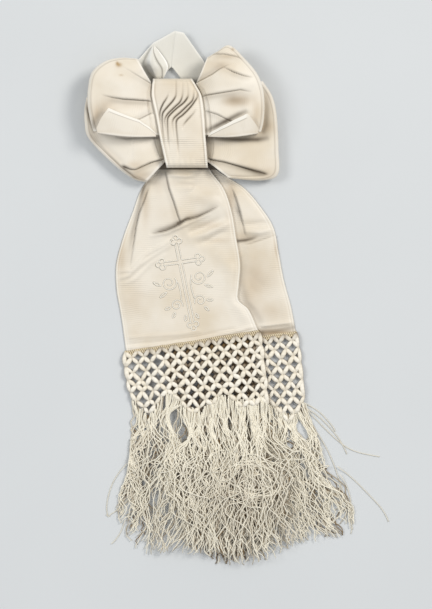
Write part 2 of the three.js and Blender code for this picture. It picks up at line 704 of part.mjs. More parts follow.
// Single threads that lie clear of the fringe: where each leaves the strip and where it ends.
const BACK_STRAYS = [
  { share: 0.985, bendX: 112, bendY: -240, x: 147, y: -250 },
  { share: 0.96, bendX: 122, bendY: -262, x: 158, y: -298 },
];
const FRONT_STRAYS = [{ share: 0.012, bendX: -48, bendY: -262, x: -57, y: -300 }];

const FRINGE_STEPS = 8;
const WAVE = 4.2; // how far a strand swings to each side
const MOUND = 1.6; // how much each layer swells in the thick of the fringe

function mound(x, y) {
  return MOUND * smooth(-222, -250, y) * smooth(-338, -305, y) * smooth(-50, -20, x) * smooth(128, 95, x);
}

// A three-sided strand along a line of points, tapered to its tip.
function strand(points) {
  const rings = points.map((point, i) => {
    const before = points[Math.max(0, i - 1)];
    const after = points[Math.min(points.length - 1, i + 1)];
    const [dx, dy] = [after.x - before.x, after.y - before.y];
    const run = Math.hypot(dx, dy);
    const radius = STRAND_RADIUS * mix(1, 0.55, i / (points.length - 1));
    return [90, 210, 330].map((degrees) => {
      const angle = THREE.MathUtils.degToRad(degrees);
      const [across, up] = [radius * Math.cos(angle), radius * Math.sin(angle)];
      return new THREE.Vector3(
        point.x - (dy / run) * across,
        point.y + (dx / run) * across,
        point.z + up,
      );
    });
  });
  const vertices = rings.flat();
  const faces = [0, 2, 1];
  for (let i = 0; i < rings.length - 1; i += 1) {
    for (let k = 0; k < 3; k += 1) {
      const [a, b] = [i * 3 + k, i * 3 + ((k + 1) % 3)];
      faces.push(a, b, b + 3, a, b + 3, a + 3);
    }
  }
  const end = (rings.length - 1) * 3;
  faces.push(end, end + 1, end + 2);
  const geometry = new THREE.BufferGeometry().setFromPoints(vertices);
  geometry.setIndex(faces);
  const solid = manifoldOf(geometry);
  if (solid.volume() > 0) return solid;
  geometry.setIndex(faces.reverse());
  return manifoldOf(geometry);
}

// The row of knots under a net, a low wavy bar that follows the net's foot.
function strip(net, height) {
  const steps = 14;
  const grid = (top) =>
    Array.from({ length: steps + 1 }, (_, i) => {
      const { x, y } = netPoint(net, i / steps, 1);
      return [0, 1].map((side) => {
        const low = y - SEAM - side * STRIP_DEPTH;
        return new THREE.Vector3(x, low, height(x) + (top ? STRIP_THICK : FLOOR_GAP));
      });
    });
  return manifoldOf(wall(grid(true), grid(false)));
}

function fringe(name, net, count, tips, strays, height, phase) {
  const solids = [strip(net, height)];
  for (let i = 0; i < count; i += 1) {
    const layer = i % 2;
    const share = (i + 0.5) / count;
    const root = netPoint(net, share, 1);
    root.y -= SEAM + STRIP_DEPTH * 0.5;
    const uneven = 1 - 0.07 * Math.abs(Math.sin(i * 2.4));
    const tip = { x: read(tips, "share", "x", share), y: read(tips, "share", "y", share) };
    const points = Array.from({ length: FRINGE_STEPS + 1 }, (_, k) => {
      const t = (k / FRINGE_STEPS) * (k === 0 ? 1 : uneven);
      const swing = WAVE * Math.sin(Math.PI * (2.2 * t + layer * 0.9 + phase) + i * 0.16);
      const x = mix(root.x, tip.x, t * mix(t, 1, 0.6)) + swing * smooth(0, 0.25, t);
      const y = mix(root.y, tip.y, t);
      const base = FLOOR_GAP + STRAND_RADIUS / 2 + layer * LAYER_STEP;
      const swell = mound(x, y) * (layer + (height(x) / FRINGE_STEP) * 2);
      return new THREE.Vector3(x, y, base + height(x) + swell);
    });
    solids.push(strand(points));
  }
  for (const stray of strays) {
    const root = netPoint(net, stray.share, 1);
    root.y -= SEAM + STRIP_DEPTH * 0.5;
    const points = Array.from({ length: FRINGE_STEPS + 1 }, (_, k) => {
      const t = k / FRINGE_STEPS;
      const x = mix(mix(root.x, stray.bendX, t), mix(stray.bendX, stray.x, t), t);
      const y = mix(mix(root.y, stray.bendY, t), mix(stray.bendY, stray.y, t), t);
      return new THREE.Vector3(x, y, FLOOR_GAP + STRAND_RADIUS / 2 + height(x));
    });
    solids.push(strand(points));
  }
  piece(name, geometryOf(wasm.Manifold.union(solids)), THREAD);
}

fringe("fringe_back", BACK_NET, 34, BACK_TIPS, BACK_STRAYS, () => 0, 0.3);
fringe("fringe_front", FRONT_NET, 44, FRONT_TIPS, FRONT_STRAYS, (x) => FRINGE_STEP * overBack(x), 0);

export default armband;
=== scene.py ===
"""A communion armband of cream ribbed silk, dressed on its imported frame.

Tables and shapes are in millimetres, in the frame of the part: +Z up from the surface it lies on,
+Y towards the top of the bow. The meshes are written in metres.
"""

import math

import bpy
import numpy as np
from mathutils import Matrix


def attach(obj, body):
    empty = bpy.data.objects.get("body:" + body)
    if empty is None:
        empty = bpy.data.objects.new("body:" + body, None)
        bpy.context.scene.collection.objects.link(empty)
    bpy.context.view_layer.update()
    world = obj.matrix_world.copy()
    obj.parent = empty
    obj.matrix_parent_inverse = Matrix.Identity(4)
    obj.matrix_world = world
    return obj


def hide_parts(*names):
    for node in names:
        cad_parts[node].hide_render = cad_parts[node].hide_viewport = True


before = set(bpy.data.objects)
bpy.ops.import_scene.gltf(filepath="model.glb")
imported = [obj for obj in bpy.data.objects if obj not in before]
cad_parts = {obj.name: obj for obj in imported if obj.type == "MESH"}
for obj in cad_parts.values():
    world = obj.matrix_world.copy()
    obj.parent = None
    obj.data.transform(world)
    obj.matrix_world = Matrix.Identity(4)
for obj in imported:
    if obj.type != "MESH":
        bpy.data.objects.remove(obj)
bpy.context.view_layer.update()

MM = 0.001

# Driving dimensions, as in the part.
CLOTH = 1.2  # thickness of a ribbon wall in the part
SEAM = 0.3  # gap between pieces that touch
SILK = 0.55  # thickness of the silk that is laid on those walls
RIBBON_WIDE = 100.0  # width of the silk ribbon
BAND_WIDE = 23.0  # width of the arm ribbon
KNOT_TOP = 18.2
KNOT_BOTTOM = 3.0
KNOT_LOW_Y, KNOT_HIGH_Y = -32.2, 34.4
KNOT_WIDE = 33.0  # about, for how far a place is from its selvedges
KNOT_ROUND = 4.0  # a tighter corner than the part's 5.5, as silk folds
TAIL_STEP = CLOTH + SEAM  # the front tail lies this far above the floor over the back tail
NET_THICK = 2.0
FRINGE_STEP = 4.0  # the front fringe lies this far above the back one

# ---------------------------------------------------------------- curves


def table(columns, *rows):
    """Rows of numbers as one array for each named column."""
    return dict(zip(columns.split(), np.array(rows, float).T))


def mix(a, b, t):
    """The value a share t of the way from a to b."""
    return a + (b - a) * t


def smooth(low, high, value):
    """0 below low and 1 above high, with a cubic between: 3 t squared less 2 t cubed."""
    t = np.clip((np.asarray(value, float) - low) / (high - low), 0, 1)
    return t * t * (3 - 2 * t)


def bell(off, width):
    """1 where off is 0, falling away on both sides: e to the minus (off over width) squared."""
    return np.exp(-((off / width) ** 2))


def read(rows, place, column, at):
    """A column's value where the place column is at, on a Catmull-Rom cubic through the rows."""
    x, y = rows[place], rows[column]
    if x[-1] < x[0]:
        x, y = x[::-1], y[::-1]
    at = np.clip(at, x[0], x[-1])
    i = np.clip(np.searchsorted(x, at) - 1, 0, len(x) - 2)
    low, high = np.maximum(i - 1, 0), np.minimum(i + 2, len(x) - 1)
    span = x[i + 1] - x[i]
    t = (at - x[i]) / span
    start = (y[i + 1] - y[low]) / (x[i + 1] - x[low]) * span
    end = (y[high] - y[i]) / (x[high] - x[i]) * span
    return (
        (2 * t**3 - 3 * t**2 + 1) * y[i]
        + (t**3 - 2 * t**2 + t) * start
        + (3 * t**2 - 2 * t**3) * y[i + 1]
        + (t**3 - t**2) * end
    )


def spread(rows, column, at):
    """A column's value at a fractional row number, on the same cubic."""
    numbered = {"row": np.arange(len(rows[column]), dtype=float), column: rows[column]}
    return read(numbered, "row", column, at)


def each(rows):
    """The rows of a table as dicts."""
    return [dict(zip(rows, values)) for values in zip(*rows.values())]


def crease(*rows):
    """A fold's line: points in order, with its height at each."""
    return table("x y height", *rows)


def from_line(x, y, fold):
    """Signed distance from a line of points, positive to its left, and its height there."""
    away, side, height = np.full_like(x, np.inf), np.ones_like(x), np.zeros_like(x)
    for k in range(len(fold["x"]) - 1):
        (x0, x1), (y0, y1), (h0, h1) = (fold[key][k : k + 2] for key in ("x", "y", "height"))
        dx, dy = x1 - x0, y1 - y0
        t = np.clip(((x - x0) * dx + (y - y0) * dy) / (dx * dx + dy * dy), 0, 1)
        off_x, off_y = x - x0 - t * dx, y - y0 - t * dy
        here = np.hypot(off_x, off_y)
        nearer = here < away
        away = np.where(nearer, here, away)
        side = np.where(nearer, np.where(dx * off_y - dy * off_x < 0, -1, 1), side)
        height = np.where(nearer, mix(h0, h1, t), height)
    return away * side, height


def ridges(x, y, folds):
    """Soft ridges and troughs: each is its height times a bell of the distance from its line."""
    lift = np.zeros_like(x)
    for width, fold in folds:
        away, height = from_line(x, y, fold)
        lift += height * bell(away, width)
    return lift


def laps(x, y, folds, edge=0.4):
    """Pleats whose cloth laps over their neighbours, high to the left of their lines.

    On the high side a pleat is its height times e to the minus distance over fall. It drops to
    nothing over the width edge, with a narrow trough at its foot a third as deep.
    """
    lift = np.zeros_like(x)
    for fall, fold in folds:
        away, height = from_line(x, y, fold)
        top = smooth(-edge, edge, away) * np.exp(-np.maximum(away, 0) / fall)
        foot = 0.33 * bell(away + 1.7 * edge, 1.4 * edge)
        lift += height * (top - foot)
    return lift


def shade_of(x, y, folds, edge=0.4, full=1.6):
    """How much painted shade lies at a pleat's foot: a bell just below its drop, up to 1.

    Its strength is the pleat's height over full, and a fainter, wider bell goes with it.
    """
    shade = np.zeros_like(x)
    for _, fold in folds:
        away, height = from_line(x, y, fold)
        near = bell(away + 1.4 * edge, 1.2 * edge) + 0.22 * bell(away + 2.4, 2.0)
        shade = np.maximum(shade, np.clip(height / full, 0, 1) * near)
    return np.clip(shade, 0, 1)


def ripple(x, y, seed, length=22.0):
    """Faint unevenness of laid cloth: seven plane waves of unit height, mixed directions."""
    random = np.random.default_rng(seed)
    lift = np.zeros_like(x)
    for _ in range(7):
        angle, phase = random.uniform(0, math.tau, 2)
        wave = length * random.uniform(0.6, 1.7)
        lift += np.sin((x * math.cos(angle) + y * math.sin(angle)) * math.tau / wave + phase)
    return lift / 7


# ---------------------------------------------------------------- meshes


def write_mesh(name, points, faces, corner_uv, values, material):
    """A smooth mesh from points in millimetres, with a map in metres and one value a point."""
    mesh = bpy.data.meshes.new(name)
    mesh.from_pydata((points.reshape(-1, 3) * MM).tolist(), [], faces)
    layer = mesh.uv_layers.new(name="cloth")
    layer.data.foreach_set("uv", (corner_uv.reshape(-1, 2) * MM).astype(np.float32).ravel())
    for key, value in values.items():
        attribute = mesh.attributes.new(key, "FLOAT", "POINT")
        attribute.data.foreach_set("value", value.astype(np.float32).ravel())
    mesh.polygons.foreach_set("use_smooth", np.ones(len(mesh.polygons), bool))
    mesh.materials.append(material)
    piece = bpy.data.objects.new(name, mesh)
    bpy.context.scene.collection.objects.link(piece)
    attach(piece, "root")
    return piece


def stand_in(piece, node=None):
    """Hides the node of the part that a piece stands in for, where it has one."""
    if node:
        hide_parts(node)
    return piece


def sheet(name, points, uv, material, values, flip=False, ring=False):
    """A sheet of silk through a grid of points, rows by columns; a ring's last row is its first.

    Its thickness is laid under the grid, so the grid is the face that shows.
    """
    rows, columns = points.shape[:2]
    index = np.arange(rows * columns).reshape(rows, columns)
    if ring:
        index[-1] = index[0]
    corners = [(0, 0), (1, 0), (1, 1), (0, 1)]
    if flip:
        corners.reverse()

    def quads(grid):
        parts = [grid[a : rows - 1 + a, b : columns - 1 + b] for a, b in corners]
        return np.stack(parts, 2)

    faces = quads(index).reshape(-1, 4)
    if ring:
        points = points[:-1]
        values = {key: value[:-1] for key, value in values.items()}
    piece = write_mesh(name, points, faces.tolist(), quads(uv), values, material)
    wall = piece.modifiers.new("silk", "SOLIDIFY")
    wall.thickness = SILK * MM
    wall.offset = -1
    return piece


def tubes(name, paths, radius, sides, material, values, flat=1.0, flank_shade=0.0):
    """Round threads along paths, an array of threads by steps by three.

    Each ring stands square to its path: side is the path's direction crossed with up, and the
    ring is radius times (side cos a + flat normal sin a), so flat below 1 presses the threads
    down. The ends are closed. The last argument adds painted shade to a ring from its flanks
    down.
    """
    count, steps = paths.shape[:2]
    ahead = np.gradient(paths, axis=1)
    ahead /= np.linalg.norm(ahead, axis=2, keepdims=True) + 1e-9
    side = np.cross(ahead, (0, 0, 1))
    side /= np.linalg.norm(side, axis=2, keepdims=True) + 1e-9
    normal = flat * np.cross(side, ahead)
    turn = np.arange(sides) * math.tau / sides
    ring = side[:, :, None] * np.cos(turn)[:, None] + normal[:, :, None] * np.sin(turn)[:, None]
    points = paths[:, :, None] + np.asarray(radius)[..., None, None] * ring
    index = np.arange(count * steps * sides).reshape(count, steps, sides)
    around = np.roll(index, -1, 2)
    faces = np.stack([index[:, :-1], index[:, 1:], around[:, 1:], around[:, :-1]], 3)
    ends = np.concatenate([index[:, 0], index[:, -1, ::-1]])
    length = np.linalg.norm(np.diff(paths, axis=1), axis=2).cumsum(1)
    length = np.concatenate([np.zeros((count, 1)), length], 1)
    v = np.repeat(length[:, :, None], sides, 2)
    u = np.broadcast_to(np.arange(sides) / sides, v.shape)
    place = np.stack([u, v], 3).reshape(-1, 2)
    all_faces = faces.reshape(-1, 4).tolist() + ends.tolist()
    corners = np.concatenate([faces.ravel(), ends.ravel()])
    per_point = {key: np.repeat(value[:, :, None], sides, 2) for key, value in values.items()}
    # painted shade on the lower flanks of each ring
    per_point["stain_and_shade"] = np.clip(per_point["stain_and_shade"] + flank_shade * smooth(0.6, 0.0, np.sin(turn)), 0, 1)
    return write_mesh(name, points, all_faces, place[corners], per_point, material)


# ---------------------------------------------------------------- finishes


def colour(code):
    """A hex sRGB colour in linear light."""
    channels = [int(code[i : i + 2], 16) / 255 for i in (1, 3, 5)]
    linear = [c / 12.92 if c <= 0.04045 else ((c + 0.055) / 1.055) ** 2.4 for c in channels]
    return (*linear, 1.0)


COLOURS = 2  # a Mix node's output for colours; its inputs for them are 6 and 7
# the brown of painted shade
SHADE_BROWN = "#4a3b28"


def add(tree, kind, links=None, **settings):
    """A node with its settings; links gives an input a value, a socket or a node's first output."""
    made = tree.nodes.new(kind)
    for key, value in settings.items():
        setattr(made, key, value)
    for socket, source in (links or {}).items():
        if isinstance(source, bpy.types.Node):
            source = source.outputs[0]
        if isinstance(source, bpy.types.NodeSocket):
            tree.links.new(source, made.inputs[socket])
        else:
            made.inputs[socket].default_value = source
    return made


def finish(name, roughness, sheen, specular=0.5):
    """An empty material with its shader: the values that are the same all over sit on it."""
    material = bpy.data.materials.new(name)
    material.use_nodes = True
    tree = material.node_tree
    shader = tree.nodes["Principled BSDF"]
    shader.inputs["Roughness"].default_value = roughness
    shader.inputs["Sheen Weight"].default_value = sheen
    shader.inputs["Sheen Roughness"].default_value = 0.4
    shader.inputs["Specular IOR Level"].default_value = specular
    return material, tree, shader


def woven_silk(name, pale, deep, stain_and_shade_colour, edge, rib, relief, roughness=0.46):
    """Ribbed silk (faille): warp threads over thick weft cords, so fine ribs run across the
    ribbon and the cloth has a soft sheen. rib is their spacing in millimetres, drawn coarser
    than the real 0.6 mm so that it shows. Pressing has flattened most ribs, so they stand up in
    watered bands only, and more where the attribute ribbed says so. Age has yellowed the cloth
    unevenly. Painted shade darkens it at the feet of its folds, in valleys, beside other pieces
    and in troughs, and the selvedge colour also paints highlights on the rims of folds.
    """
    material, tree, shader = finish(name, roughness, 0.12, 0.4)
    place = add(tree, "ShaderNodeUVMap", uv_map="cloth").outputs[0]
    split = add(tree, "ShaderNodeSeparateXYZ", {0: place})
    solid = add(tree, "ShaderNodeTexCoord").outputs["Object"]
    waver = add(tree, "ShaderNodeTexNoise", {"Vector": solid, "Scale": 60.0, "Detail": 2.0})
    shift = add(tree, "ShaderNodeMath", {0: waver, 1: 2.2 * MM}, operation="MULTIPLY")
    along = add(tree, "ShaderNodeMath", {0: split.outputs[1], 1: shift}, operation="ADD")
    turns = add(tree, "ShaderNodeMath", {0: along, 1: math.tau / (rib * MM)}, operation="MULTIPLY")
    ribs = add(tree, "ShaderNodeMath", {0: turns}, operation="SINE")
    bands = add(tree, "ShaderNodeMapping", {0: place, 3: (26.0, 75.0, 1.0)})
    watered = add(tree, "ShaderNodeTexNoise", {"Vector": bands, "Scale": 1.0, "Detail": 3.0})
    patches = add(tree, "ShaderNodeMapRange", {0: watered, 1: 0.45, 2: 0.7, 3: 0.12, 4: 1.0})
    ribbed = add(tree, "ShaderNodeAttribute", attribute_name="ribbed").outputs["Fac"]
    strength = add(tree, "ShaderNodeMath", {0: patches, 1: ribbed}, operation="MULTIPLY")
    rib_height = add(tree, "ShaderNodeMath", {0: ribs, 1: strength}, operation="MULTIPLY")
    cloud = add(tree, "ShaderNodeTexNoise", {"Vector": solid, "Scale": 26.0, "Detail": 4.0})
    aged = add(tree, "ShaderNodeMapRange", {0: cloud, 1: 0.4, 2: 0.7})
    stain_and_shade, selvedge, painted_shade = (
        add(tree, "ShaderNodeAttribute", attribute_name=kept).outputs["Fac"]
        for kept in ("stain_and_shade", "selvedge", "painted_shade")
    )
    shade = add(tree, "ShaderNodeMapRange", {0: rib_height, 1: -1.0, 2: 1.0, 3: 0.9, 4: 1.05})
    base = add(tree, "ShaderNodeMix", {0: aged, 6: colour(pale), 7: colour(deep)}, data_type="RGBA")
    # Layers: stains and painted shade in troughs, the ribs, selvedges and painted highlights on fold rims,
    # then painted shade at fold feet and beside other pieces.
    for factor, over, how in (
        (stain_and_shade, colour(stain_and_shade_colour), "MIX"), (1.0, shade, "MULTIPLY"),
        (selvedge, colour(edge), "MIX"), (painted_shade, colour(SHADE_BROWN), "MIX"),
    ):
        layers = {0: factor, 6: base.outputs[COLOURS], 7: over}
        base = add(tree, "ShaderNodeMix", layers, data_type="RGBA", blend_type=how)
    tree.links.new(base.outputs[COLOURS], shader.inputs["Base Color"])
    fibre = add(tree, "ShaderNodeTexNoise", {"Vector": solid, "Scale": 1400.0, "Detail": 2.0})
    fuzz = add(tree, "ShaderNodeMath", {0: fibre, 1: 0.5}, operation="MULTIPLY")
    height = add(tree, "ShaderNodeMath", {0: rib_height, 1: fuzz}, operation="ADD")
    bump = add(tree, "ShaderNodeBump", {"Height": height, "Distance": relief * MM, "Strength": 0.9})
    tree.links.new(bump.outputs[0], shader.inputs["Normal"])
    return material


def plied_thread(name, pale, deep, stain_and_shade_colour, pitch, twist):
    """Twisted silk thread: two plies wound round each other, so slanting dark lines run round it.
    pitch is the length of one turn in millimetres, and twist is how bright the lines stay. The
    twist dulls the silk's sheen.
    """
    material, tree, shader = finish(name, 0.6, 0.15, 0.35)
    place = add(tree, "ShaderNodeUVMap", uv_map="cloth").outputs[0]
    split = add(tree, "ShaderNodeSeparateXYZ", {0: place})
    turns = add(tree, "ShaderNodeMath", {0: split.outputs[1], 1: pitch * MM}, operation="DIVIDE")
    round_it = add(tree, "ShaderNodeMath", {0: split.outputs[0], 1: 1 / MM}, operation="MULTIPLY")
    both = add(tree, "ShaderNodeMath", {0: turns, 1: round_it}, operation="ADD")
    angle = add(tree, "ShaderNodeMath", {0: both, 1: math.tau}, operation="MULTIPLY")
    plies = add(tree, "ShaderNodeMath", {0: angle}, operation="SINE")
    tone = add(tree, "ShaderNodeAttribute", attribute_name="tone").outputs["Fac"]
    stain_and_shade = add(tree, "ShaderNodeAttribute", attribute_name="stain_and_shade").outputs["Fac"]
    shade = add(tree, "ShaderNodeMapRange", {0: plies, 1: -1.0, 2: 1.0, 3: twist, 4: 1.02})
    base = add(tree, "ShaderNodeMix", {0: tone, 6: colour(pale), 7: colour(deep)}, data_type="RGBA")
    for factor, over, how in ((stain_and_shade, colour(stain_and_shade_colour), "MIX"), (1.0, shade, "MULTIPLY")):
        layers = {0: factor, 6: base.outputs[COLOURS], 7: over}
        base = add(tree, "ShaderNodeMix", layers, data_type="RGBA", blend_type=how)
    tree.links.new(base.outputs[COLOURS], shader.inputs["Base Color"])
    bump = add(tree, "ShaderNodeBump", {"Height": plies, "Distance": 0.07 * MM, "Strength": 0.6})
    tree.links.new(bump.outputs[0], shader.inputs["Normal"])
    return material


def smooth_paper(name, pale, deep):
    """The pale paper that the armband lies on: matt, with a faint mottle."""
    material, tree, shader = finish(name, 0.9, 0.0, 0.2)
    solid = add(tree, "ShaderNodeTexCoord").outputs["Object"]
    mottle = add(tree, "ShaderNodeTexNoise", {"Vector": solid, "Scale": 6.0, "Detail": 3.0})
    base = add(tree, "ShaderNodeMix", {0: mottle, 6: colour(pale), 7: colour(deep)}, data_type="RGBA")
    tree.links.new(base.outputs[COLOURS], shader.inputs["Base Color"])
    return material


# The silks' stain colour paints stains and also painted shade in troughs.
RIBBED_SILK = woven_silk("ribbed_silk", "#f1eadd", "#e3d7c2", "#b4976c", "#fefbf3", rib=1.5, relief=0.11)
SATIN = woven_silk(
    "satin_ribbon", "#ecebe4", "#e1dfd7", "#c9bf9f", "#f8f8f4", rib=0.9, relief=0.03, roughness=0.42
)
# On the threads the stain colour paints stains and painted shade; the fringe's and heading's deep colours
# paint shade on lower layers and lower turns, and the embroidery thread's stain colour paints the shade line
# under each thread.
NET_CORD = plied_thread("knotted_silk_cord", "#fffaee", "#f1e8d4", "#6f5836", pitch=2.6, twist=0.94)
FRINGE_THREAD = plied_thread("fringe_thread", "#fffaea", "#7c6238", "#7d5c30", pitch=1.4, twist=0.92)
HEADING_THREAD = plied_thread("heading_thread", "#efe1c2", "#97794a", "#453017", pitch=1.4, twist=0.88)
STITCH_THREAD = plied_thread("embroidery_thread", "#fffcf4", "#f5efe0", "#aea38e", pitch=1.2, twist=0.88)

# ---------------------------------------------------------------- knot

KNOT_SIDES = table(
    "y left right",
    (34.4, -20.2, 9.0),
    (28.0, -20.9, 12.9),
    (21.0, -21.0, 16.2),
    (5.2, -17.6, 18.2),
    (-7.5, -15.4, 19.0),
    (-18.8, -13.0, 19.9),
    (-32.2, -9.9, 20.9),
)

# The valleys between the knot's pleats, from top to bottom: where each lies and how deep it is.
KNOT_VALLEYS = [
    table("y x depth", *rows)
    for rows in (
        ((25, -7.6, 0), (19.9, -9.8, 1.3), (14.6, -13, 2.1), (9.3, -14.9, 1.8), (3, -14.8, 0.9),
         (-3, -14, 0)),
        ((34.4, -3.0, 0.8), (22, -3.0, 1.2), (17.8, -5.1, 2.2), (13, -9.3, 2.6), (8.8, -12.6, 2.4),
         (5.1, -13.3, 1.7), (-3.3, -13.0, 1.2), (-10.6, -12.2, 0.8), (-17, -11.4, 0)),
        ((34.4, 1.6, 0.4), (23, 2.0, 1.0), (17, 0.2, 2.0), (12.4, -4.4, 2.4), (7.6, -9.2, 2.2),
         (3.4, -11.3, 1.3), (-4, -10.9, 0.6), (-10, -10.4, 0)),
        ((34.4, 5.0, 0.4), (22, 6.2, 1.0), (18.8, 4.9, 2.1), (15.7, 2.3, 2.7), (11.5, -3.0, 2.8),
         (6.2, -8.2, 2.5), (3.0, -9.3, 1.7), (-10.6, -8.8, 1.1), (-19, -8.0, 0.4), (-25, -7.6, 0)),
        ((26, 11.0, 0.3), (18.0, 9.4, 1.8), (13.6, 5.2, 2.4), (9, 0.4, 2.5), (4.8, -4.2, 2.0),
         (1.2, -5.6, 1.1), (-8, -5.0, 0.5), (-14, -4.6, 0)),
        ((27, 12.2, 0), (21.2, 13.2, 1.2), (16.7, 10.7, 2.1), (12.5, 7.5, 2.6), (7.2, 2.3, 2.7),
         (3.6, -2.0, 2.2), (-0.1, -2.8, 1.5), (-10.6, -1.9, 1.2), (-20, -1.2, 0.7), (-29, -0.6, 0)),
        ((12, 12.6, 0), (8.4, 10.4, 1.0), (3.0, 5.4, 1.5), (-1, 2.6, 0.8), (-5, 2.2, 0)),
    )
]


def knot_side(y, side):
    """Where the knot's left or right selvedge is."""
    return read(KNOT_SIDES, "y", side, y)


def knot_relief(x, y):
    """The knot's top above its plain level, and the painted shade in its valleys.

    The top is a crown with pleats between valleys and corded selvedges. Each valley is its depth
    times a narrow bell plus a wider cusp, both of the distance across it, and the deepest one
    counts. Small gathers scallop the knot's lower end.
    """
    left, right = knot_side(y, "left"), knot_side(y, "right")
    share = (x - left) / (right - left)
    lift = 1.2 * np.sin(math.pi * np.clip(share, 0, 1)) + 0.15 * ripple(x, y, 9, 12)
    lift += 1.2 * smooth(-16, 6, y) * smooth(0.02, 0.2, share) * smooth(0.99, 0.8, share)
    sunk, painted_shade = np.zeros_like(x), np.zeros_like(x)
    for valley in KNOT_VALLEYS:
        at = np.clip(y, valley["y"].min(), valley["y"].max())
        slope = read(valley, "y", "x", at + 0.5) - read(valley, "y", "x", at - 0.5)
        across = (x - read(valley, "y", "x", at)) / np.sqrt(1 + slope**2)
        deep = np.where(at == y, np.maximum(read(valley, "y", "depth", at), 0), 0)
        narrow = bell(across, 0.62)
        sunk = np.maximum(sunk, deep * (0.6 * narrow + 0.4 * np.exp(-np.abs(across) / 1.1)))
        painted_shade = np.maximum(painted_shade, 0.95 * smooth(0.3, 2.3, deep) * narrow**1.3)
    from_edge = np.minimum(x - left, right - x)
    lift += 0.5 * bell(from_edge - 0.9, 0.6)
    lift -= 0.4 * bell(from_edge - 2.4, 0.45)
    lift += 0.25 * smooth(-24, -29, y) * np.sin(x * math.tau / 4.3)
    return lift - sunk, painted_shade


def make_knot():
    """A wrap of ribbon round the bow: a rounded oblong in the YZ plane, carried across in X."""
    quarter = np.linspace(0, math.pi / 2, 10)
    rise, run = KNOT_ROUND * np.sin(quarter), KNOT_ROUND * np.cos(quarter)
    low, high = KNOT_LOW_Y + KNOT_ROUND, KNOT_HIGH_Y - KNOT_ROUND
    bottom, top = KNOT_BOTTOM + KNOT_ROUND, KNOT_TOP - KNOT_ROUND
    down = np.linspace(high, low, 150)[1:-1]
    back = np.linspace(low, high, 10)[1:-1]
    over, under = np.full_like(down, KNOT_TOP), np.full_like(back, KNOT_BOTTOM)
    y = np.concatenate([high + rise, high + run, down, low - rise, low - run, back])
    z = np.concatenate([bottom - run, top + rise, over, top + run, bottom - rise, under])
    y, z = np.append(y, y[0]), np.append(z, z[0])
    share = np.linspace(0, 1, 104)
    grid_y = np.repeat(y[:, None], len(share), 1)
    grid_x = mix(knot_side(grid_y, "left"), knot_side(grid_y, "right"), share)
    on_top = smooth(KNOT_TOP - KNOT_ROUND * 0.8, KNOT_TOP, z)[:, None]
    relief, painted_shade = knot_relief(grid_x, grid_y)
    grid_z = z[:, None] + on_top * relief
    length = np.append(0, np.hypot(np.diff(y), np.diff(z)).cumsum())
    uv = np.stack([grid_x, np.repeat(length[:, None], len(share), 1)], 2)
    edge = np.minimum(share, 1 - share) * KNOT_WIDE
    values = {
        "stain_and_shade": 0.05 * on_top + 0 * grid_x,
        "selvedge": 0.6 * np.repeat(smooth(1.8, 1.2, edge)[None], len(y), 0),
        # painted shade in the valleys and in a line inside each corded selvedge
        "painted_shade": on_top * np.maximum(painted_shade, 0.3 * bell(edge - 2.1, 0.35)),
        "ribbed": mix(0.5, 2.4, smooth(-4, -14, grid_y)),
    }
    points = np.stack([grid_x, grid_y, grid_z], 2)
    return stand_in(sheet("knot_wrap", points, uv, RIBBED_SILK, values, ring=True), "knot")


# ---------------------------------------------------------------- bow loops

LOWER_PROFILE = table(
    "out z",
    (-1, 4.9), (0, 4.9), (0.12, 3.9), (0.35, 3.2), (0.65, 3.2), (0.9, 3.6), (0.98, 4.8), (1, 7.3),
    (0.985, 9.2), (0.93, 10.4), (0.65, 11), (0.35, 10.8), (0.12, 9.9), (0, 9.2), (-1, 9.2),
)
UPPER_PROFILE = table(
    "out z",
    (-1, 9.6), (0, 9.9), (0.12, 11.6), (0.35, 11.9), (0.65, 11.9), (0.9, 12.8), (0.98, 15), (1, 18),
    (0.985, 20.6), (0.93, 22.4), (0.65, 24), (0.35, 22.4), (0.12, 18.6), (0, 16), (-1, 16),
)
UPPER_WAIST = (30.4, -8)
LOWER_WAIST = (18, -28)
WAIST_CLEAR = 0.6
UPPER_LEFT_FOLD = table(
    "across x y",
    (0.0, -31.5, 48.6), (0.14, -44.0, 49.4), (0.28, -56.0, 46.6), (0.43, -65.4, 38.5), (0.57, -68.2, 26.5),
    (0.71, -68.4, 15.0), (0.86, -66.6, 4.0), (1.0, -64.2, -5.0),
)
UPPER_RIGHT_FOLD = table(
    "across x y",
    (0.0, 20.5, 49.5), (0.12, 28.0, 54.0), (0.2, 36.5, 58.8), (0.35, 48.0, 48.9), (0.5, 57.4, 37.6),
    (0.64, 61.7, 26.0), (0.78, 62.8, 13.0), (0.9, 62.0, 2.0), (1.0, 60.2, -5.4),
)
LOWER_LEFT_FOLD = table(
    "across x y",
    (0.0, -69.5, 20.5), (0.13, -71.0, 11.0), (0.26, -70.8, 1.0), (0.4, -69.0, -8.0), (0.52, -62.5, -16.4),
    (0.66, -53.5, -25.4), (0.8, -44.0, -33.8), (0.92, -33.5, -40.6), (1.0, -25.0, -42.7),
)
LOWER_RIGHT_FOLD = table(
    "across x y",
    (0.0, 61.5, 32.5), (0.13, 68.5, 21.5), (0.26, 71.6, 9.5), (0.4, 72.8, -5.0), (0.54, 73.3, -19.0),
    (0.7, 72.8, -37.0), (0.84, 61.0, -41.2), (1.0, 36.0, -39.4),
)

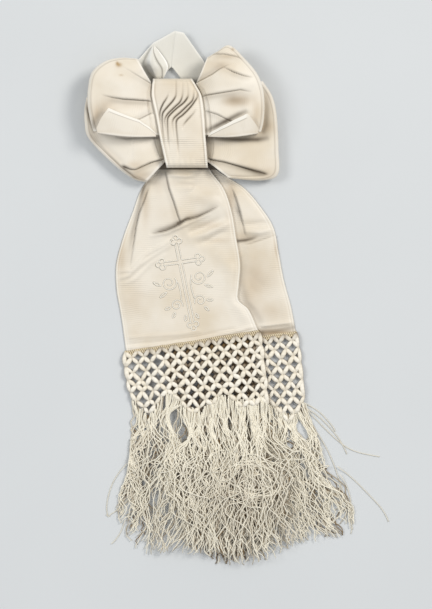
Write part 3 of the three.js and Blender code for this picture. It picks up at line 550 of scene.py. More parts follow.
# Each pleat is how far it takes to fall away, and its line.
UPPER_LEFT_LAPS = [
    (14, crease((-58.5, 22.4, 0), (-50, 20.6, 1.0), (-41.9, 19.4, 1.6), (-30, 18.7, 1.9), (-18, 18, 1.9))),
    (7, crease((-43, 44, 0), (-32, 37.2, 0.5), (-19, 29.5, 1.0))),
    (8, crease((-17, 10, 1.4), (-29.3, 3.6, 1.2), (-37, 0.6, 0))),
]
UPPER_RIGHT_LAPS = [
    (9, crease((36.5, 43.8, 0.2), (30, 40.6, 1.4), (24.9, 36.9, 1.7), (18, 33.2, 1.7), (8, 28.4, 1.7))),
    (6, crease((33, 43.2, 0.4), (40.2, 39.6, 1.6), (47.5, 36.9, 1.3), (55, 35.2, 0))),
    (7, crease((23, 52.2, 0), (28, 53, 0.9), (34, 52.9, 1.1), (42, 51.2, 0.8), (48, 48.4, 0))),
    (12, crease((14, 21.6, 1.9), (30.7, 24.2, 1.8), (45.4, 26.5, 1.2), (54.4, 24.7, 0))),
    (8, crease((16, 12.2, 1.2), (28.6, 7.9, 1.1), (40, 2, 0.8))),
]
LOWER_LEFT_LAPS = [
    (13, crease((-43, -30.2, 0), (-41, -31, 1.2), (-37, -32.6, 1.9), (-33.5, -33, 2.3), (-27, -30, 2.5),
                (-21.9, -27.7, 2.6), (-16, -26, 2.6), (-8, -23.8, 2.6))),
]
LOWER_RIGHT_LAPS = [
    (16, crease((16, -23.8, 2.7), (34.9, -27.6, 2.7), (49.6, -31.8, 2.3), (60, -34.8, 1.2), (66, -36.8, 0))),
]
# Each soft ridge or trough is its width, and its line.
UPPER_LEFT_RIDGES = [
    (4.5, crease((-64, 3, -0.6), (-58, 10, -1.5), (-50, 14.6, -1.7), (-38, 14.5, -1.3), (-22, 14, -0.8))),
    (7, crease((-62, 36, 0.6), (-48, 32, 1.1), (-30, 27, 0.6))),
    (2.5, crease((-65.5, 30, 0), (-66.5, 18, 0.6), (-64.5, 4, 0.4))),
]
UPPER_RIGHT_RIDGES = [
    (4.5, crease((30, 16, -0.4), (38, 16.5, -1.5), (50, 17.5, -1.3), (57, 19, -0.2))),
    (5, crease((38, 33, 0.6), (52, 30.5, 0.8))),
    (2.2, crease((59, 26, 0), (60.5, 13, 0.6), (59, 0, 0.5))),
]
LOWER_LEFT_RIDGES = [
    (0.8, crease((-69, -5, 0), (-62.5, -14.2, -0.6), (-53, -23.7, -0.6), (-38.3, -36.2, -0.6),
                 (-26.5, -41.2, -0.5))),
    (3.2, crease((-62, -9, -0.3), (-54, -19, -0.9), (-45, -27.5, -0.9), (-40, -30.5, -0.2))),
    (3, crease((-34, -38, 0.3), (-24, -34.5, 0.9), (-12, -30, 0.9))),
    (7, crease((-54, -12, 0.4), (-32, -18, 0.9))),
]
LOWER_RIGHT_RIDGES = [
    (0.8, crease((29, -35.4, -0.3), (37, -38.2, -0.6), (48, -38.9, -0.6), (62, -38.4, -0.5), (69, -37, 0))),
    (4, crease((66, 20, 0.4), (68.5, 4, 0.6), (69, -18, 0.5))),
    (7, crease((34, -16, 0.5), (60, -18, 0.6))),
]
# Brown spots on the silk, marks of age and, in places, painted shade in soft troughs: middle, reach and
# strength.
SPOT_COLUMNS = "x y reach_x reach_y strength"
UPPER_LEFT_SPOTS = table(
    SPOT_COLUMNS, (-45.5, 44.2, 2.2, 1.6, 0.9), (-46.8, 45.6, 1.0, 1.2, 0.7), (-43.8, 36.6, 1.6, 0.7, 0.5),
    (-63, 8, 3, 8, 0.25), (-57, 14, 7, 6, 0.16),
)
# The spot at (42, 18) is painted shade in the trough there.
UPPER_RIGHT_SPOTS = table(
    SPOT_COLUMNS, (42, 18, 9, 5, 0.42), (30, 44, 9, 4, 0.3), (57, 8, 3, 10, 0.32), (39.6, 56, 1.3, 1.2, 0.7),
    (36, 50.5, 6, 1.6, 0.3),
)
LOWER_LEFT_SPOTS = table(SPOT_COLUMNS, (-30, -38, 8, 4, 0.4), (-66, -12, 5, 8, 0.3), (-34, -30, 6, 3, 0.25))
LOWER_RIGHT_SPOTS = table(SPOT_COLUMNS, (64, -2, 9, 5, 0.3), (66, -36, 8, 5, 0.22), (68, 24, 4, 9, 0.25))
# Painted shade beside neighbouring pieces, under the tucks and in the deepest folds: its width, and its
# strength along a line.
UPPER_LEFT_SHADE = [(2.4, crease((-65, -2, 0.5), (-63, 4, 0.4), (-58, 10, 0.3), (-53, 13, 0)))]
UPPER_RIGHT_SHADE = [
    (1.9, crease((21, -4.4, 0.5), (28, -0.9, 0.85), (36, 3.2, 0.8), (44, 7.4, 0.7), (49, 9.4, 0.45),
                 (52, 8.6, 0.1))),
    (4.0, crease((34, 17.5, 0.1), (40, 18, 0.24), (48, 16.5, 0.18), (52, 15.5, 0))),
]
LOWER_LEFT_SHADE = [
    (1.2, crease((-70, 22, 0.2), (-69.2, 12, 0.7), (-66.8, 2, 0.8), (-64.6, -5, 0.5))),
    (0.9, crease((-48, -9.6, 0.2), (-40, -10.8, 0.6), (-30, -10.2, 0.4), (-17, -10, 0.5))),
    (1.0, crease((-66, -8, 0.1), (-56, -19.5, 0.3), (-44, -31.5, 0.5), (-34, -39, 0.5), (-25, -42, 0.3))),
    (1.3, crease((-44.5, -29.6, 0), (-41, -31.4, 0.7), (-37, -33, 0.2))),
]
LOWER_RIGHT_SHADE = [
    (1.9, crease((20, -9.6, 0.4), (32, -10.8, 0.75), (45, -11.4, 0.85), (58, -11.2, 0.85), (65, -10.2, 0.4))),
    (2.2, crease((38, -29.8, 0), (50, -32.8, 0.35), (60, -35.6, 0.5), (65, -36.8, 0.2))),
    (2.2, crease((62.5, 30, 0.1), (65, 14, 0.35), (64.5, 0, 0.5), (62.5, -5, 0.5))),
    (0.9, crease((30, -26.6, 0.1), (45, -31.2, 0.4), (56, -34.6, 0.7), (63, -36.3, 0.6), (66, -36.8, 0))),
]
FOLD_STEPS = 140  # round a loop, from its underside at the knot to its top at the knot
ACROSS_STEPS = 120
OPEN_END = 0.72  # how high a loop's open ends stand at its fold, as a share of its middle


def stain_and_shade_spots(x, y, spots):
    """How much the spots darken the cloth, with marks of age and painted shade: each spot is its strength
    times a bell in both directions.
    """
    amount = np.zeros_like(x)
    for s in each(spots):
        off = ((x - s["x"]) / s["reach_x"]) ** 2 + ((y - s["y"]) / s["reach_y"]) ** 2
        amount += s["strength"] * np.exp(-off)
    return amount


def loop_plan(side, waist, fold, across, out):
    """Where a place on a loop is, seen from above: straight lines from the knot to the outer fold."""
    y = mix(*waist, across)
    left, right = knot_side(y, "left"), knot_side(y, "right")
    edge = left - WAIST_CLEAR if side < 0 else right + WAIST_CLEAR
    middle = (left + right) / 2 + side * SEAM
    x_out = mix(edge, read(fold, "across", "x", across), out)
    y_out = mix(y, read(fold, "across", "y", across), out)
    return np.where(out <= 0, mix(edge, middle, -out), x_out), np.where(out <= 0, y, y_out)


def open_ends(across, out):
    """A loop's open ends lie lower than its middle, and most of all at its outer fold."""
    end = mix(1, OPEN_END, np.clip(out, 0, 1))
    return mix(end, 1, smooth(0, 0.25, np.minimum(across, 1 - across)))


def loop_face(across, out, profile):
    """Height of the plain top of a loop, before its pleats."""
    half = len(profile["z"]) // 2
    top = {key: values[half:][::-1] for key, values in profile.items()}
    middle = profile["z"][half]
    rise = read(top, "out", "z", out) - middle
    return middle + rise * open_ends(across, out)


def make_loop(node, side, waist, fold, profile, folds, soft, spots, painted_shade, seed):
    """A stretch of ribbon from the knot, over its outer fold and back; rows go round the fold."""
    last = len(profile["z"]) - 1
    half = last // 2
    steps = FOLD_STEPS // 4
    row = np.concatenate([np.linspace(0, half, steps)[:-1], np.linspace(half, last, FOLD_STEPS - steps)])
    across = np.linspace(0, 1, ACROSS_STEPS)
    row, across = np.meshgrid(row, across, indexing="ij")
    out, z = spread(profile, "out", row), spread(profile, "z", row)
    out = np.clip(out, -1, 1)
    x, y = loop_plan(side, waist, fold, across, out)
    top = smooth(half, half + 1.3, row)
    puff = mix(1, open_ends(across, out), top)
    middle = profile["z"][half]
    free = smooth(0.0, 0.09, out)
    relief = laps(x, y, folds) + ridges(x, y, soft) + 0.22 * ripple(x, y, seed)
    points = np.stack([x, y, middle + (z - middle) * puff + top * free * relief], 2)
    steps_along = np.linalg.norm(np.diff(points[:, ACROSS_STEPS // 2], axis=0), axis=1)
    along = np.append(0, steps_along.cumsum())
    uv = np.stack([across * RIBBON_WIDE, np.repeat(along[:, None], ACROSS_STEPS, 1)], 2)
    width = mix(34, 92, np.clip(out, 0, 1))  # at the knot and at the fold
    from_selvedge = np.minimum(across, 1 - across) * width
    # Painted light: a highlight on the rim of the outer fold, and painted shade in a thin line just inside
    # it, beside the knot, at the feet of the pleats, along the listed shade lines and in troughs. The
    # underside is a little darker.
    fold_rim_highlight = smooth(0.965, 0.985, out) * top
    shade_inside_fold = 0.28 * bell(out - 0.955, 0.009)
    shade_beside_knot = smooth(0.03, 0.0, out) * smooth(-0.03, 0.0, out)
    fold_shade = 0.85 * free * shade_of(x, y, folds) + ridges(x, y, painted_shade) + shade_inside_fold
    hollow_shade = np.clip(-relief, 0, 1) * 0.16 * top
    values = {
        "stain_and_shade": np.clip(stain_and_shade_spots(x, y, spots) * top + 0.12 * (1 - top) + hollow_shade, 0, 1),
        "selvedge": np.maximum(0.5 * smooth(1.9, 1.3, from_selvedge), 0.45 * fold_rim_highlight),
        "painted_shade": np.clip(top * fold_shade + 0.4 * shade_beside_knot, 0, 0.9),
        "ribbed": 0.55 + 0.25 * ripple(x, y, seed + 50, 30),
    }
    return stand_in(sheet(node + "_silk", points, uv, RIBBED_SILK, values, flip=side > 0), node)


# ---------------------------------------------------------------- tucks

LEFT_TUCK = table(
    "out free lift",
    (0.04, 0.95, 0.1), (0.12, 0.86, 0.5), (0.26, 0.77, 0.9), (0.48, 0.735, 1.5), (0.7, 0.7, 2.0),
    (0.84, 0.84, 1.2), (0.95, 0.965, 0.3),
)
RIGHT_TUCK = table(
    "out free lift",
    (0.04, 0.98, 0.1), (0.1, 0.945, 0.5), (0.27, 0.885, 1.4), (0.476, 0.835, 2.2), (0.716, 0.8, 2.8),
    (0.86, 0.9, 1.8), (0.96, 0.975, 0.4),
)
TUCK_RISE = SEAM + 0.75
TUCK_HANG, TUCK_SAG = 0.6, 1.7  # how far its folded edge stands past the loop's edge, and sags
TUCK_ROLL = 0.22  # share of the tuck that rolls down over the loop's lower edge
TUCK_DROP = 6.0
TUCK_MAP = 24, 58  # how wide and long the cloth's pattern is laid over it


def make_tuck(node, side, fold, rows, seed):
    """The loop's selvedge turned up over its front: its face, its peak, and the roll at its fold.

    The folded edge hangs below the loop's edge by a half sine; the roll goes down round it.
    """
    last = len(rows["out"]) - 1
    out = np.interp(np.linspace(0, last, 96), np.arange(last + 1), rows["out"])
    share = np.linspace(-TUCK_ROLL, 1, 48)
    out, share = np.meshgrid(out, share, indexing="ij")
    free = np.interp(out, rows["out"], rows["free"])
    lift = np.interp(out, rows["out"], rows["lift"])
    face = np.clip(share, 0, 1)
    across = mix(1, free, face)
    x, y = loop_plan(side, UPPER_WAIST, fold, across, out)
    roll = np.clip(-share / TUCK_ROLL, 0, 1)
    hang = TUCK_HANG + TUCK_SAG * np.sin(math.pi * np.clip(out, 0, 1))
    y = y - (1 - face) * hang - 0.8 * np.sin(roll * math.pi) + 0.6 * roll
    z = loop_face(across, out, UPPER_PROFILE) + TUCK_RISE + lift * face + CLOTH
    z += 0.12 * ripple(x, y, seed) - TUCK_DROP * roll**1.6
    points = np.stack([x, y, z], 2)
    uv = np.stack([face, out], 2) * TUCK_MAP
    from_free = (1 - share) * (1 - free) * 70
    border = smooth(2.4, 2.0, from_free) * smooth(0.04, 0.1, out) * smooth(0.74, 0.68, out)
    # Painted light: a highlight along the tuck's fold, and painted shade in a line just inside its selvedge.
    # The cloth is a little darker near the fold, on the roll and towards the loop's outer fold.
    values = {
        "stain_and_shade": 0.1 * smooth(0.35, 0.0, share) + 0.15 * smooth(0.85, 1.0, out),
        "selvedge": 0.8 * border + 0.4 * smooth(0.12, 0.02, np.abs(share)),
        "painted_shade": 0.4 * bell(from_free - 2.5, 0.3) * smooth(0.74, 0.68, out),
        "ribbed": 0.7 + 0 * x,
    }
    return stand_in(sheet(node + "_silk", points, uv, RIBBED_SILK, values, flip=side < 0), node)


# ---------------------------------------------------------------- arm band

# The ring of narrow ribbon, clockwise from the middle of its lapped ends behind the knot.
BAND = table(
    "out_x out_y in_x in_y rise",
    (0, -11.2, 0, 11.2, 0), (-14, -11.2, -11, 11.2, 0), (-28, -8, -19, 13, 0), (-40, 2, -24, 17, 0),
    (-47, 15, -26.5, 21, 0), (-46, 28, -25, 25, 0), (-40, 38.5, -20, 29, 0.4), (-32.2, 48, -14, 35, 1.2),
    (-20.2, 61.5, -9, 41, 3), (-3.8, 70.5, -6.6, 43.4, 4.6), (3, 69, -5.2, 42.4, 4.6),
    (17.2, 48.8, 1, 34.4, 2), (27, 35, 8, 26, 0.3), (35, 22, 13.5, 19, 0), (36, 8, 14, 15, 0),
    (30, -4, 12, 12.5, 0), (16, -11.2, 7, 11.2, 0), (0, -11.2, 0, 11.2, 0),
)
BAND_FOLDS = [(9, crease((-2.9, 71, 0.55), (-5, 56, 0.5), (-6.4, 43, 0.3)))]
BAND_FLAT = 1.4
TONGUE = table(
    "left_x left_y right_x right_y base arch",
    (-20.6, 59.2, -18.9, 59.2, 4.9, 0.6), (-24.4, 52.5, -14.6, 54.0, 4.4, 2.8),
    (-26.8, 46.4, -10.0, 47.4, 3.9, 4.8), (-24.6, 41.0, -9.0, 42.4, 3.8, 4.8),
    (-19.2, 34.4, -12.2, 35.0, 3.6, 2.6),
)
TONGUE_LONG = 26.0


def make_band():
    """The arm ribbon's ring: straight lines from its outer edge to its inner one, mitred at the top."""
    last = len(BAND["rise"]) - 1
    row = np.linspace(0, last, 200)
    share = np.linspace(0, 1, 26)
    columns = {key: np.interp(row, np.arange(last + 1), values)[:, None] for key, values in BAND.items()}
    x = mix(columns["out_x"], columns["in_x"], share)
    y = mix(columns["out_y"], columns["in_y"], share)
    lapped = np.where(y < 12, 1 - smooth(8, 14, np.abs(x)), 0)
    z = columns["rise"] * (1 - 0.5 * share) + mix(BAND_FLAT, 2.6, lapped)
    arch = smooth(30, 42, y)
    z = z + arch * (laps(x, y, BAND_FOLDS) + 0.15 * ripple(x, y, 5, 30))
    points = np.stack([x, y, z], 2)
    step_x, step_y = (np.diff((columns["out_" + k] + columns["in_" + k]).ravel()) / 2 for k in "xy")
    along = np.append(0, np.hypot(step_x, step_y).cumsum())[:, None]
    uv = np.stack([np.broadcast_to(share * BAND_WIDE, x.shape), np.broadcast_to(along, x.shape)], 2)
    edge = np.minimum(share, 1 - share) * BAND_WIDE
    values = {
        "stain_and_shade": 0.04 + 0 * x,
        "selvedge": 0.7 * smooth(1.1, 0.7, edge) + 0 * x,
        # painted shade at the foot of the arch's fold, and over the ring where it runs under and beside the
        # bow
        "painted_shade": arch * 0.3 * shade_of(x, y, BAND_FOLDS) + 0.5 * smooth(37, 33, y),
        "ribbed": 0.5 + 0 * x,
    }
    piece = sheet("arm_ribbon", points, uv, SATIN, values, flip=True, ring=True)
    return stand_in(piece, "arm_band")


def make_tongue():
    """The ribbon's turned end, curled: it rises at its left, falls slowly to its right, and is
    dented along an inner fold that runs from its tip to its right-hand corner.
    """
    last = len(TONGUE["base"]) - 1
    row, share = np.meshgrid(np.linspace(0, last, 64), np.linspace(0, 1, 50), indexing="ij")
    columns = {key: spread(TONGUE, key, row) for key in TONGUE}
    x = mix(columns["left_x"], columns["right_x"], share)
    y = mix(columns["left_y"], columns["right_y"], share)
    inner = mix(0.42, 0.8, row / last)  # the line of the inner fold, from the tip to the knot
    arch = np.minimum(smooth(0, 0.3, share), smooth(1.15, 0.35, share))
    dent = 0.3 * bell(share - inner, 0.05) + 0.1 * smooth(inner - 0.02, inner + 0.1, share)
    z = columns["base"] + columns["arch"] * (arch - dent) + CLOTH
    points = np.stack([x, y, z], 2)
    uv = np.stack([share * BAND_WIDE, row * (TONGUE_LONG / last)], 2)
    # painted shade along the inner fold, at the left edge and where the end goes in by the knot; a painted
    # highlight along the rising left side
    shade_at_sides = 0.25 * smooth(0.12, 0.0, share) + 0.3 * smooth(3.6, 4, row)
    values = {
        "stain_and_shade": 0.05 + 0 * x,
        "selvedge": np.maximum(smooth(0.08, 0.05, 1 - share), 0.9 * bell(share - 0.2, 0.09)),
        "painted_shade": 0.55 * bell(share - inner, 0.035) + shade_at_sides,
        "ribbed": 0.4 + 0 * x,
    }
    return stand_in(sheet("arm_ribbon_end", points, uv, SATIN, values), "band_tongue")


# ---------------------------------------------------------------- tails

TAIL_COLUMNS = "down left_x left_y right_x right_y"
FRONT_TAIL = table(
    TAIL_COLUMNS,
    (0.0, -7.5, -18.8, 18.0, -18.8), (0.09, -16.0, -32.2, 22.0, -32.2), (0.19, -28.2, -46.5, 33.0, -48.2),
    (0.31, -35.6, -65.5, 38.8, -65.2), (0.45, -43.0, -85.5, 42.2, -84.8), (0.58, -47.9, -105.0, 45.2, -104.2),
    (0.71, -47.6, -123.8, 44.2, -120.0), (0.8, -45.2, -137.5, 43.8, -131.0),
    (0.88, -43.2, -150.0, 51.4, -138.4), (1.0, -40.5, -170.2, 58.8, -154.5),
)
BACK_TAIL = table(
    TAIL_COLUMNS,
    (0.0, -6.0, -19.4, 19.5, -19.4), (0.1, -9.0, -33.8, 28.0, -33.8), (0.2, -10.5, -48.8, 47.5, -46.8),
    (0.31, -11.5, -65.5, 61.0, -62.2), (0.43, -12.0, -84.2, 70.2, -77.2), (0.57, -12.0, -105.0, 74.0, -95.8),
    (0.71, -11.5, -126.8, 78.0, -116.8), (0.85, -11.0, -147.5, 83.2, -136.0),
    (1.0, -10.5, -168.0, 87.0, -155.6),
)
FRONT_LAPS = [
    (12, crease((-11.4, -31, 1.6), (-7.7, -47.6, 2.1), (-4, -57.9, 2.1), (-1.2, -67.2, 1.9),
                (0.3, -71.5, 1.2), (0.9, -74, 0))),
    (16, crease((30, -61, 0), (26.8, -62.6, 1.2), (19.3, -66.4, 2.6), (12.8, -69.6, 3.5), (4.4, -71.6, 3.8),
                (0.7, -74.2, 3.8), (-4, -76.8, 3.3), (-10.5, -79.6, 2.2), (-18, -81.2, 1.0), (-23, -82, 0))),
    (9, crease((-21.5, -41, 1.6), (-22.6, -45, 1.9), (-25.5, -55.1, 2.1), (-30.1, -66.3, 2.1),
               (-32.4, -76.6, 1.9), (-34.3, -89.6, 1.4), (-36.2, -101.7, 0.6), (-37, -107, 0))),
]
FRONT_RIDGES = [
    (1.4, crease((-47, -110.1, 0.3), (-36.6, -109, 0.7), (-25.5, -97.3, 0.8), (-15.2, -91.6, 0.8),
                 (-5.9, -86.2, 0.4))),
    (1.6, crease((-46.9, -115.7, 0.4), (-38.5, -113, 0.8), (-29.2, -104.5, 0.8), (-19.9, -98, 0.7),
                 (-4, -88, 0.3))),
    (1.5, crease((-44, -120, 0.2), (-34, -116, 0.5), (-22, -104, 0.4), (-12, -97.5, 0.2))),
    (1.1, crease((-8, -37.6, 0.3), (4, -38.8, 0.7), (20, -36.6, 0.5))),
    (1.5, crease((0, -42, 0.1), (14, -43.6, 0.6), (27, -40.6, 0.4))),
    (1.8, crease((-2, -48, 0.1), (12, -47, 0.5), (28, -47.5, 0.2))),
    (1.0, crease((-22, -83.4, 0.2), (-10, -81.4, 0.7), (0, -76.8, 0.9), (8, -73.2, 0.7), (22, -67.4, 0.3))),
    (7, crease((8, -50, 0.4), (24, -56, 1.3), (33, -60, 0.6))),
    (3, crease((10, -79.8, -1.0), (18, -77, -1.6), (25, -73.6, -1.3), (33, -69.5, -0.3))),
    (3, crease((8, -84.5, 0.2), (18, -82, 0.9), (28, -77.5, 0.9), (38, -73, 0.3))),
    (2.6, crease((15, -88.8, -0.4), (22, -86.8, -1.3), (30, -82.2, -1.1), (38, -79, -0.2))),
    (5, crease((30, -98, 0.4), (39, -110, 0.8), (38, -126, 0.5), (48, -142, 0.6))),
    (0.9, crease((-39.5, -167.2, 0.6), (-10, -164.9, 0.6), (12.8, -161.4, 0.6), (40, -155.2, 0.6),
                 (57.5, -150.4, 0.6))),
    (1.0, crease((-39.5, -164.6, -0.5), (-10, -162.3, -0.5), (12.8, -158.8, -0.4), (40, -152.6, -0.3))),
    (1.2, crease((-38, -159.4, 0.4), (0, -157.0, 0.4), (14, -154.4, 0.3))),
]
BACK_LAPS = [
    (11, crease((37, -41, 1.5), (38, -43.9, 1.7), (41.7, -53.2, 2.0), (44.5, -61.6, 2.0), (46.8, -71, 1.7),
                (49, -80.5, 1.2), (50, -84, 0))),
    (10, crease((74, -81.5, 0), (70, -83.5, 0.7), (64, -85.6, 1.1), (58, -87.6, 1.2), (52, -89.5, 0.9),
                (46, -90.4, 0.3), (42, -90.6, 0))),
]
BACK_RIDGES = [
    (1.6, crease((42, -87.2, -0.6), (49, -86.4, -0.8), (55, -85.2, -0.6), (60, -83, 0))),
    (2.6, crease((48, -75, -0.5), (58, -74.6, -1.0), (67, -73.8, -0.6))),
    (2.4, crease((50, -80, 0.4), (60, -80.5, 1.1), (70, -78, 0.6))),
    (6, crease((52, -114, -0.5), (58, -122, -0.7), (60, -130, -0.3))),
    (1.0, crease((57, -151.2, 0.7), (86, -147.6, 0.7))),
    (1.3, crease((57, -154.6, -0.8), (86, -151.0, -0.8))),
]
# The spots at (24, -75) and (29, -86.5) are painted shade in the soft trough below the cross fold.
FRONT_SPOTS = table(
    SPOT_COLUMNS, (-45.7, -95, 4.5, 15, 0.5), (-34, -131, 9, 12, 0.16), (-26, -58, 3, 16, 0.35),
    (8, -158, 60, 3, 0.1), (38, -62, 4, 18, 0.18), (-16, -46, 5, 8, 0.16), (24, -75, 9, 3, 0.24),
    (29, -86.5, 8, 2, 0.22), (-2, -44, 12, 3, 0.1), (14, -57, 10, 5, 0.12), (-12, -66, 7, 7, 0.12),
)
# Painted shade along lines on the front tail: its width, and its strength along a line.
FRONT_SHADE = [
    (2.2, crease((-22, -81.4, 0), (-14, -79.2, 0.4), (-6, -76.4, 0.45), (-1, -73.6, 0.5))),
    (1.1, crease((-1, -73.8, 0.7), (4, -71, 0.8), (6.5, -70.2, 0.3))),
    (1.8, crease((6, -70.4, 0.35), (14, -68, 0.35), (22, -64.6, 0.2), (29, -61, 0))),
    (1.4, crease((-27, -45, 0.3), (-31, -62, 0.35), (-35.5, -80, 0.25), (-38, -96, 0))),
    (2.6, crease((-24, -42, 0.5), (-28, -48, 0.4), (-31, -56, 0))),
]
# Painted shade along lines on the back tail: its width, and its strength along a line.
BACK_SHADE = [
    (2.6, crease((45, -96, 0), (47, -106, 0.14), (46, -118, 0.16), (50, -132, 0.2), (60, -146, 0.12))),
    (1.2, crease((43, -87, 0.8), (49, -86.4, 0.85), (54, -85.2, 0.6), (59, -83.4, 0))),
    (1.5, crease((41, -58, 0), (43.6, -65, 0.4), (45.6, -71, 0.1))),
    (1.9, crease((58, -155.4, 0.45), (72, -154.4, 0.5), (87, -151.4, 0.4))),
]
BACK_SPOTS = table(
    SPOT_COLUMNS, (73.5, -92, 3, 8, 0.6), (38, -54, 4, 14, 0.4), (47, -84, 8, 4, 0.3),
    (56, -114, 9, 14, 0.36), (70, -156, 24, 2.6, 0.75), (66, -140, 14, 8, 0.24), (52, -130, 7, 12, 0.22),
    (68, -116, 8, 9, 0.12),
)
TAIL_LONG = 152.0
TAIL_ROWS, TAIL_ACROSS = 168, 104
FOLDS_START = -44
LAID = 0.75  # the silk's face lies this far above what it rests on
SILK_LOFT = 0.9  # and this much more in the middle, where nothing presses it down
RIDGE_RISE = 2.0  # the tails' soft ridges are drawn this much higher than their tables, so that they show


def over_back(x):
    """Share of the full step up that the front pieces take where they lie over the back ones."""
    return smooth(-27, -13, x)


def soft_lift(x, y, inside, folds, soft, seed):
    """How far laid silk stands off what it lies on: least at its edges, and never below it.

    inside is the distance from the cloth's nearest selvedge. The soft ridges stand RIDGE_RISE
    times the heights in their tables.
    """
    rim = smooth(-1, 7, inside)
    plain = SILK_LOFT * (1 + 0.35 * ripple(x, y, seed)) + RIDGE_RISE * ridges(x, y, soft)
    return np.maximum(rim * plain + laps(x, y, folds), 0)


def front_free(x, y):
    """Where the front tail may rise: below the bow, and between its lower loops."""
    beside_loops = smooth(-33, -38, y) * smooth(15, 7, np.abs(x + 1))
    return np.maximum(smooth(FOLDS_START, FOLDS_START - 10, y), beside_loops)


def back_free(x, y):
    """Where the back tail may rise: below the bow, and beside the front tail."""
    edge = read(FRONT_TAIL, "right_y", "right_x", np.clip(y, -154, -20))
    return smooth(FOLDS_START, FOLDS_START - 10, y) * smooth(1, 8, x - edge)


def front_height(x, y, inside=99.0):
    """Top of the front tail: its step over the back tail, its folds and its faint ripples.

    It is still bunched up where it leaves the knot.
    """
    folds = soft_lift(x, y, inside, FRONT_LAPS, FRONT_RIDGES, 11)
    bunched = 2.6 * smooth(-31.5, -33, y) * smooth(-46, -34, y) * smooth(15, 6, np.abs(x - 5))
    return TAIL_STEP * over_back(x) + LAID + front_free(x, y) * folds + bunched


def back_height(x, y, inside=99.0):
    """Top of the back tail: folds only where it shows beside the front one."""
    return LAID + back_free(x, y) * soft_lift(x, y, inside, BACK_LAPS, BACK_RIDGES, 13)


def make_tail(node, rows, height, free, folds, spots, painted_shade):
    """A flat ribbon between two corded selvedges, gathered at the top."""
    down, share = np.meshgrid(np.linspace(0, 1, TAIL_ROWS), np.linspace(0, 1, TAIL_ACROSS), indexing="ij")
    column = {key: read(rows, "down", key, down) for key in rows if key != "down"}
    x = mix(column["left_x"], column["right_x"], share)
    y = mix(column["left_y"], column["right_y"], share)
    width = np.hypot(column["right_x"] - column["left_x"], column["right_y"] - column["left_y"])
    from_edge = np.minimum(share, 1 - share) * width
    z = height(x, y, from_edge) + 0.35 * bell(from_edge - 0.8, 0.6) - 0.2 * bell(from_edge - 2.1, 0.5)
    points = np.stack([x, y, z], 2)
    uv = np.stack([share * RIBBON_WIDE, down * TAIL_LONG], 2)
    lines = bell(from_edge - 0.7, 0.5) + 0.5 * bell(from_edge - 3.0, 0.35)
    # painted shade under the bow's lower edge and beside the lower loops, at the feet of the pleats and along
    # the listed shade lines
    shadow_under_bow = 0.3 * smooth(-42, -34, y) * smooth(6, 18, np.abs(x - 3)) + 0.8 * smooth(-33.9, -32.9, y)
    fold_shade = 0.5 * free(x, y) * shade_of(x, y, folds) + ridges(x, y, painted_shade)
    values = {
        "stain_and_shade": np.clip(stain_and_shade_spots(x, y, spots), 0, 1),
        "selvedge": np.clip(0.75 * lines, 0, 1),
        "painted_shade": np.clip(fold_shade + shadow_under_bow + 0.04, 0, 0.85),  # the tails are a little greyer all over
        "ribbed": 0.65 + 0.5 * ripple(x, y, 61, 40),
    }
    return stand_in(sheet(node + "_silk", points, uv, RIBBED_SILK, values), node)


# ---------------------------------------------------------------- embroidery

CROSS_X, CROSS_Y = 0.2, -102.5  # where its bars cross
CROSS_TILT = math.radians(11.5)
CROSS_SKEW = math.radians(3.5)  # the cloth is pulled askew, so its side bars tilt less
CROSS_UP, CROSS_DOWN, CROSS_OUT = 15.5, 48.0, 13.5
BAR_HALF = 1.3
BUD = 1.9
STITCH = 0.42  # radius of the laid thread
STITCH_LONG = 1.3
SHADE_LINE_WIDE, SHADE_LINE_FLAT, SHADE_LINE_DEEP = 1.75, 0.4, 0.2  # the painted shade line's radius in threads, its flatness, how far under the thread


def turned(line, angle):
    """The same line turned about the origin."""
    c, s = math.cos(angle), math.sin(angle)
    return line @ np.array([(c, s), (-s, c)])


def arc(x, y, radius, start, end, steps):
    """Points on a circle from one angle to another, in degrees."""
    angle = np.radians(np.linspace(start, end, steps))
    return np.stack([x + radius * np.cos(angle), y + radius * np.sin(angle)], 1)


def spiral(x, y, outer, inner, start, turns, steps=70):
    """A scroll: the radius falls evenly from outer to inner as the angle grows."""
    t = np.linspace(0, 1, steps)
    angle = math.radians(start) + turns * math.tau * t
    radius = mix(outer, inner, t)
    return np.stack([x + radius * np.cos(angle), y + radius * np.sin(angle)], 1)


def bar(length, turn):
    """One arm of the cross: two stitched lines and three buds at its end, turned about the middle."""
    lines = [np.array([(side * BAR_HALF, BAR_HALF), (side * BAR_HALF, length - BUD)]) for side in (-1, 1)]
    buds = [arc(-BUD * 1.25, length, BUD, 20, 340, 16), arc(BUD * 1.25, length, BUD, 200, 520, 16),
            arc(0, length + BUD * 1.5, BUD, -70, 250, 16)]
    return [turned(line, turn) for line in lines + buds]


def leaf(x, y, turn, length=6.5, width=0.9):
    """A pointed leaf: its half width is width times the sine of the way along."""
    t = np.linspace(0, 1, 12)
    half = width * np.sin(math.pi * t)
    there, back = np.stack([t * length, half], 1), np.stack([t[::-1] * length, -half[::-1]], 1)
    return turned(np.concatenate([there, back]), math.radians(turn)) + (x, y)


def even(line, gap):
    """The same line with points a given distance apart."""
    run = np.append(0, np.hypot(*np.diff(line, axis=0).T).cumsum())
    at = np.linspace(0, run[-1], max(4, int(run[-1] / gap)))
    return np.stack([np.interp(at, run, line[:, 0]), np.interp(at, run, line[:, 1])], 1)


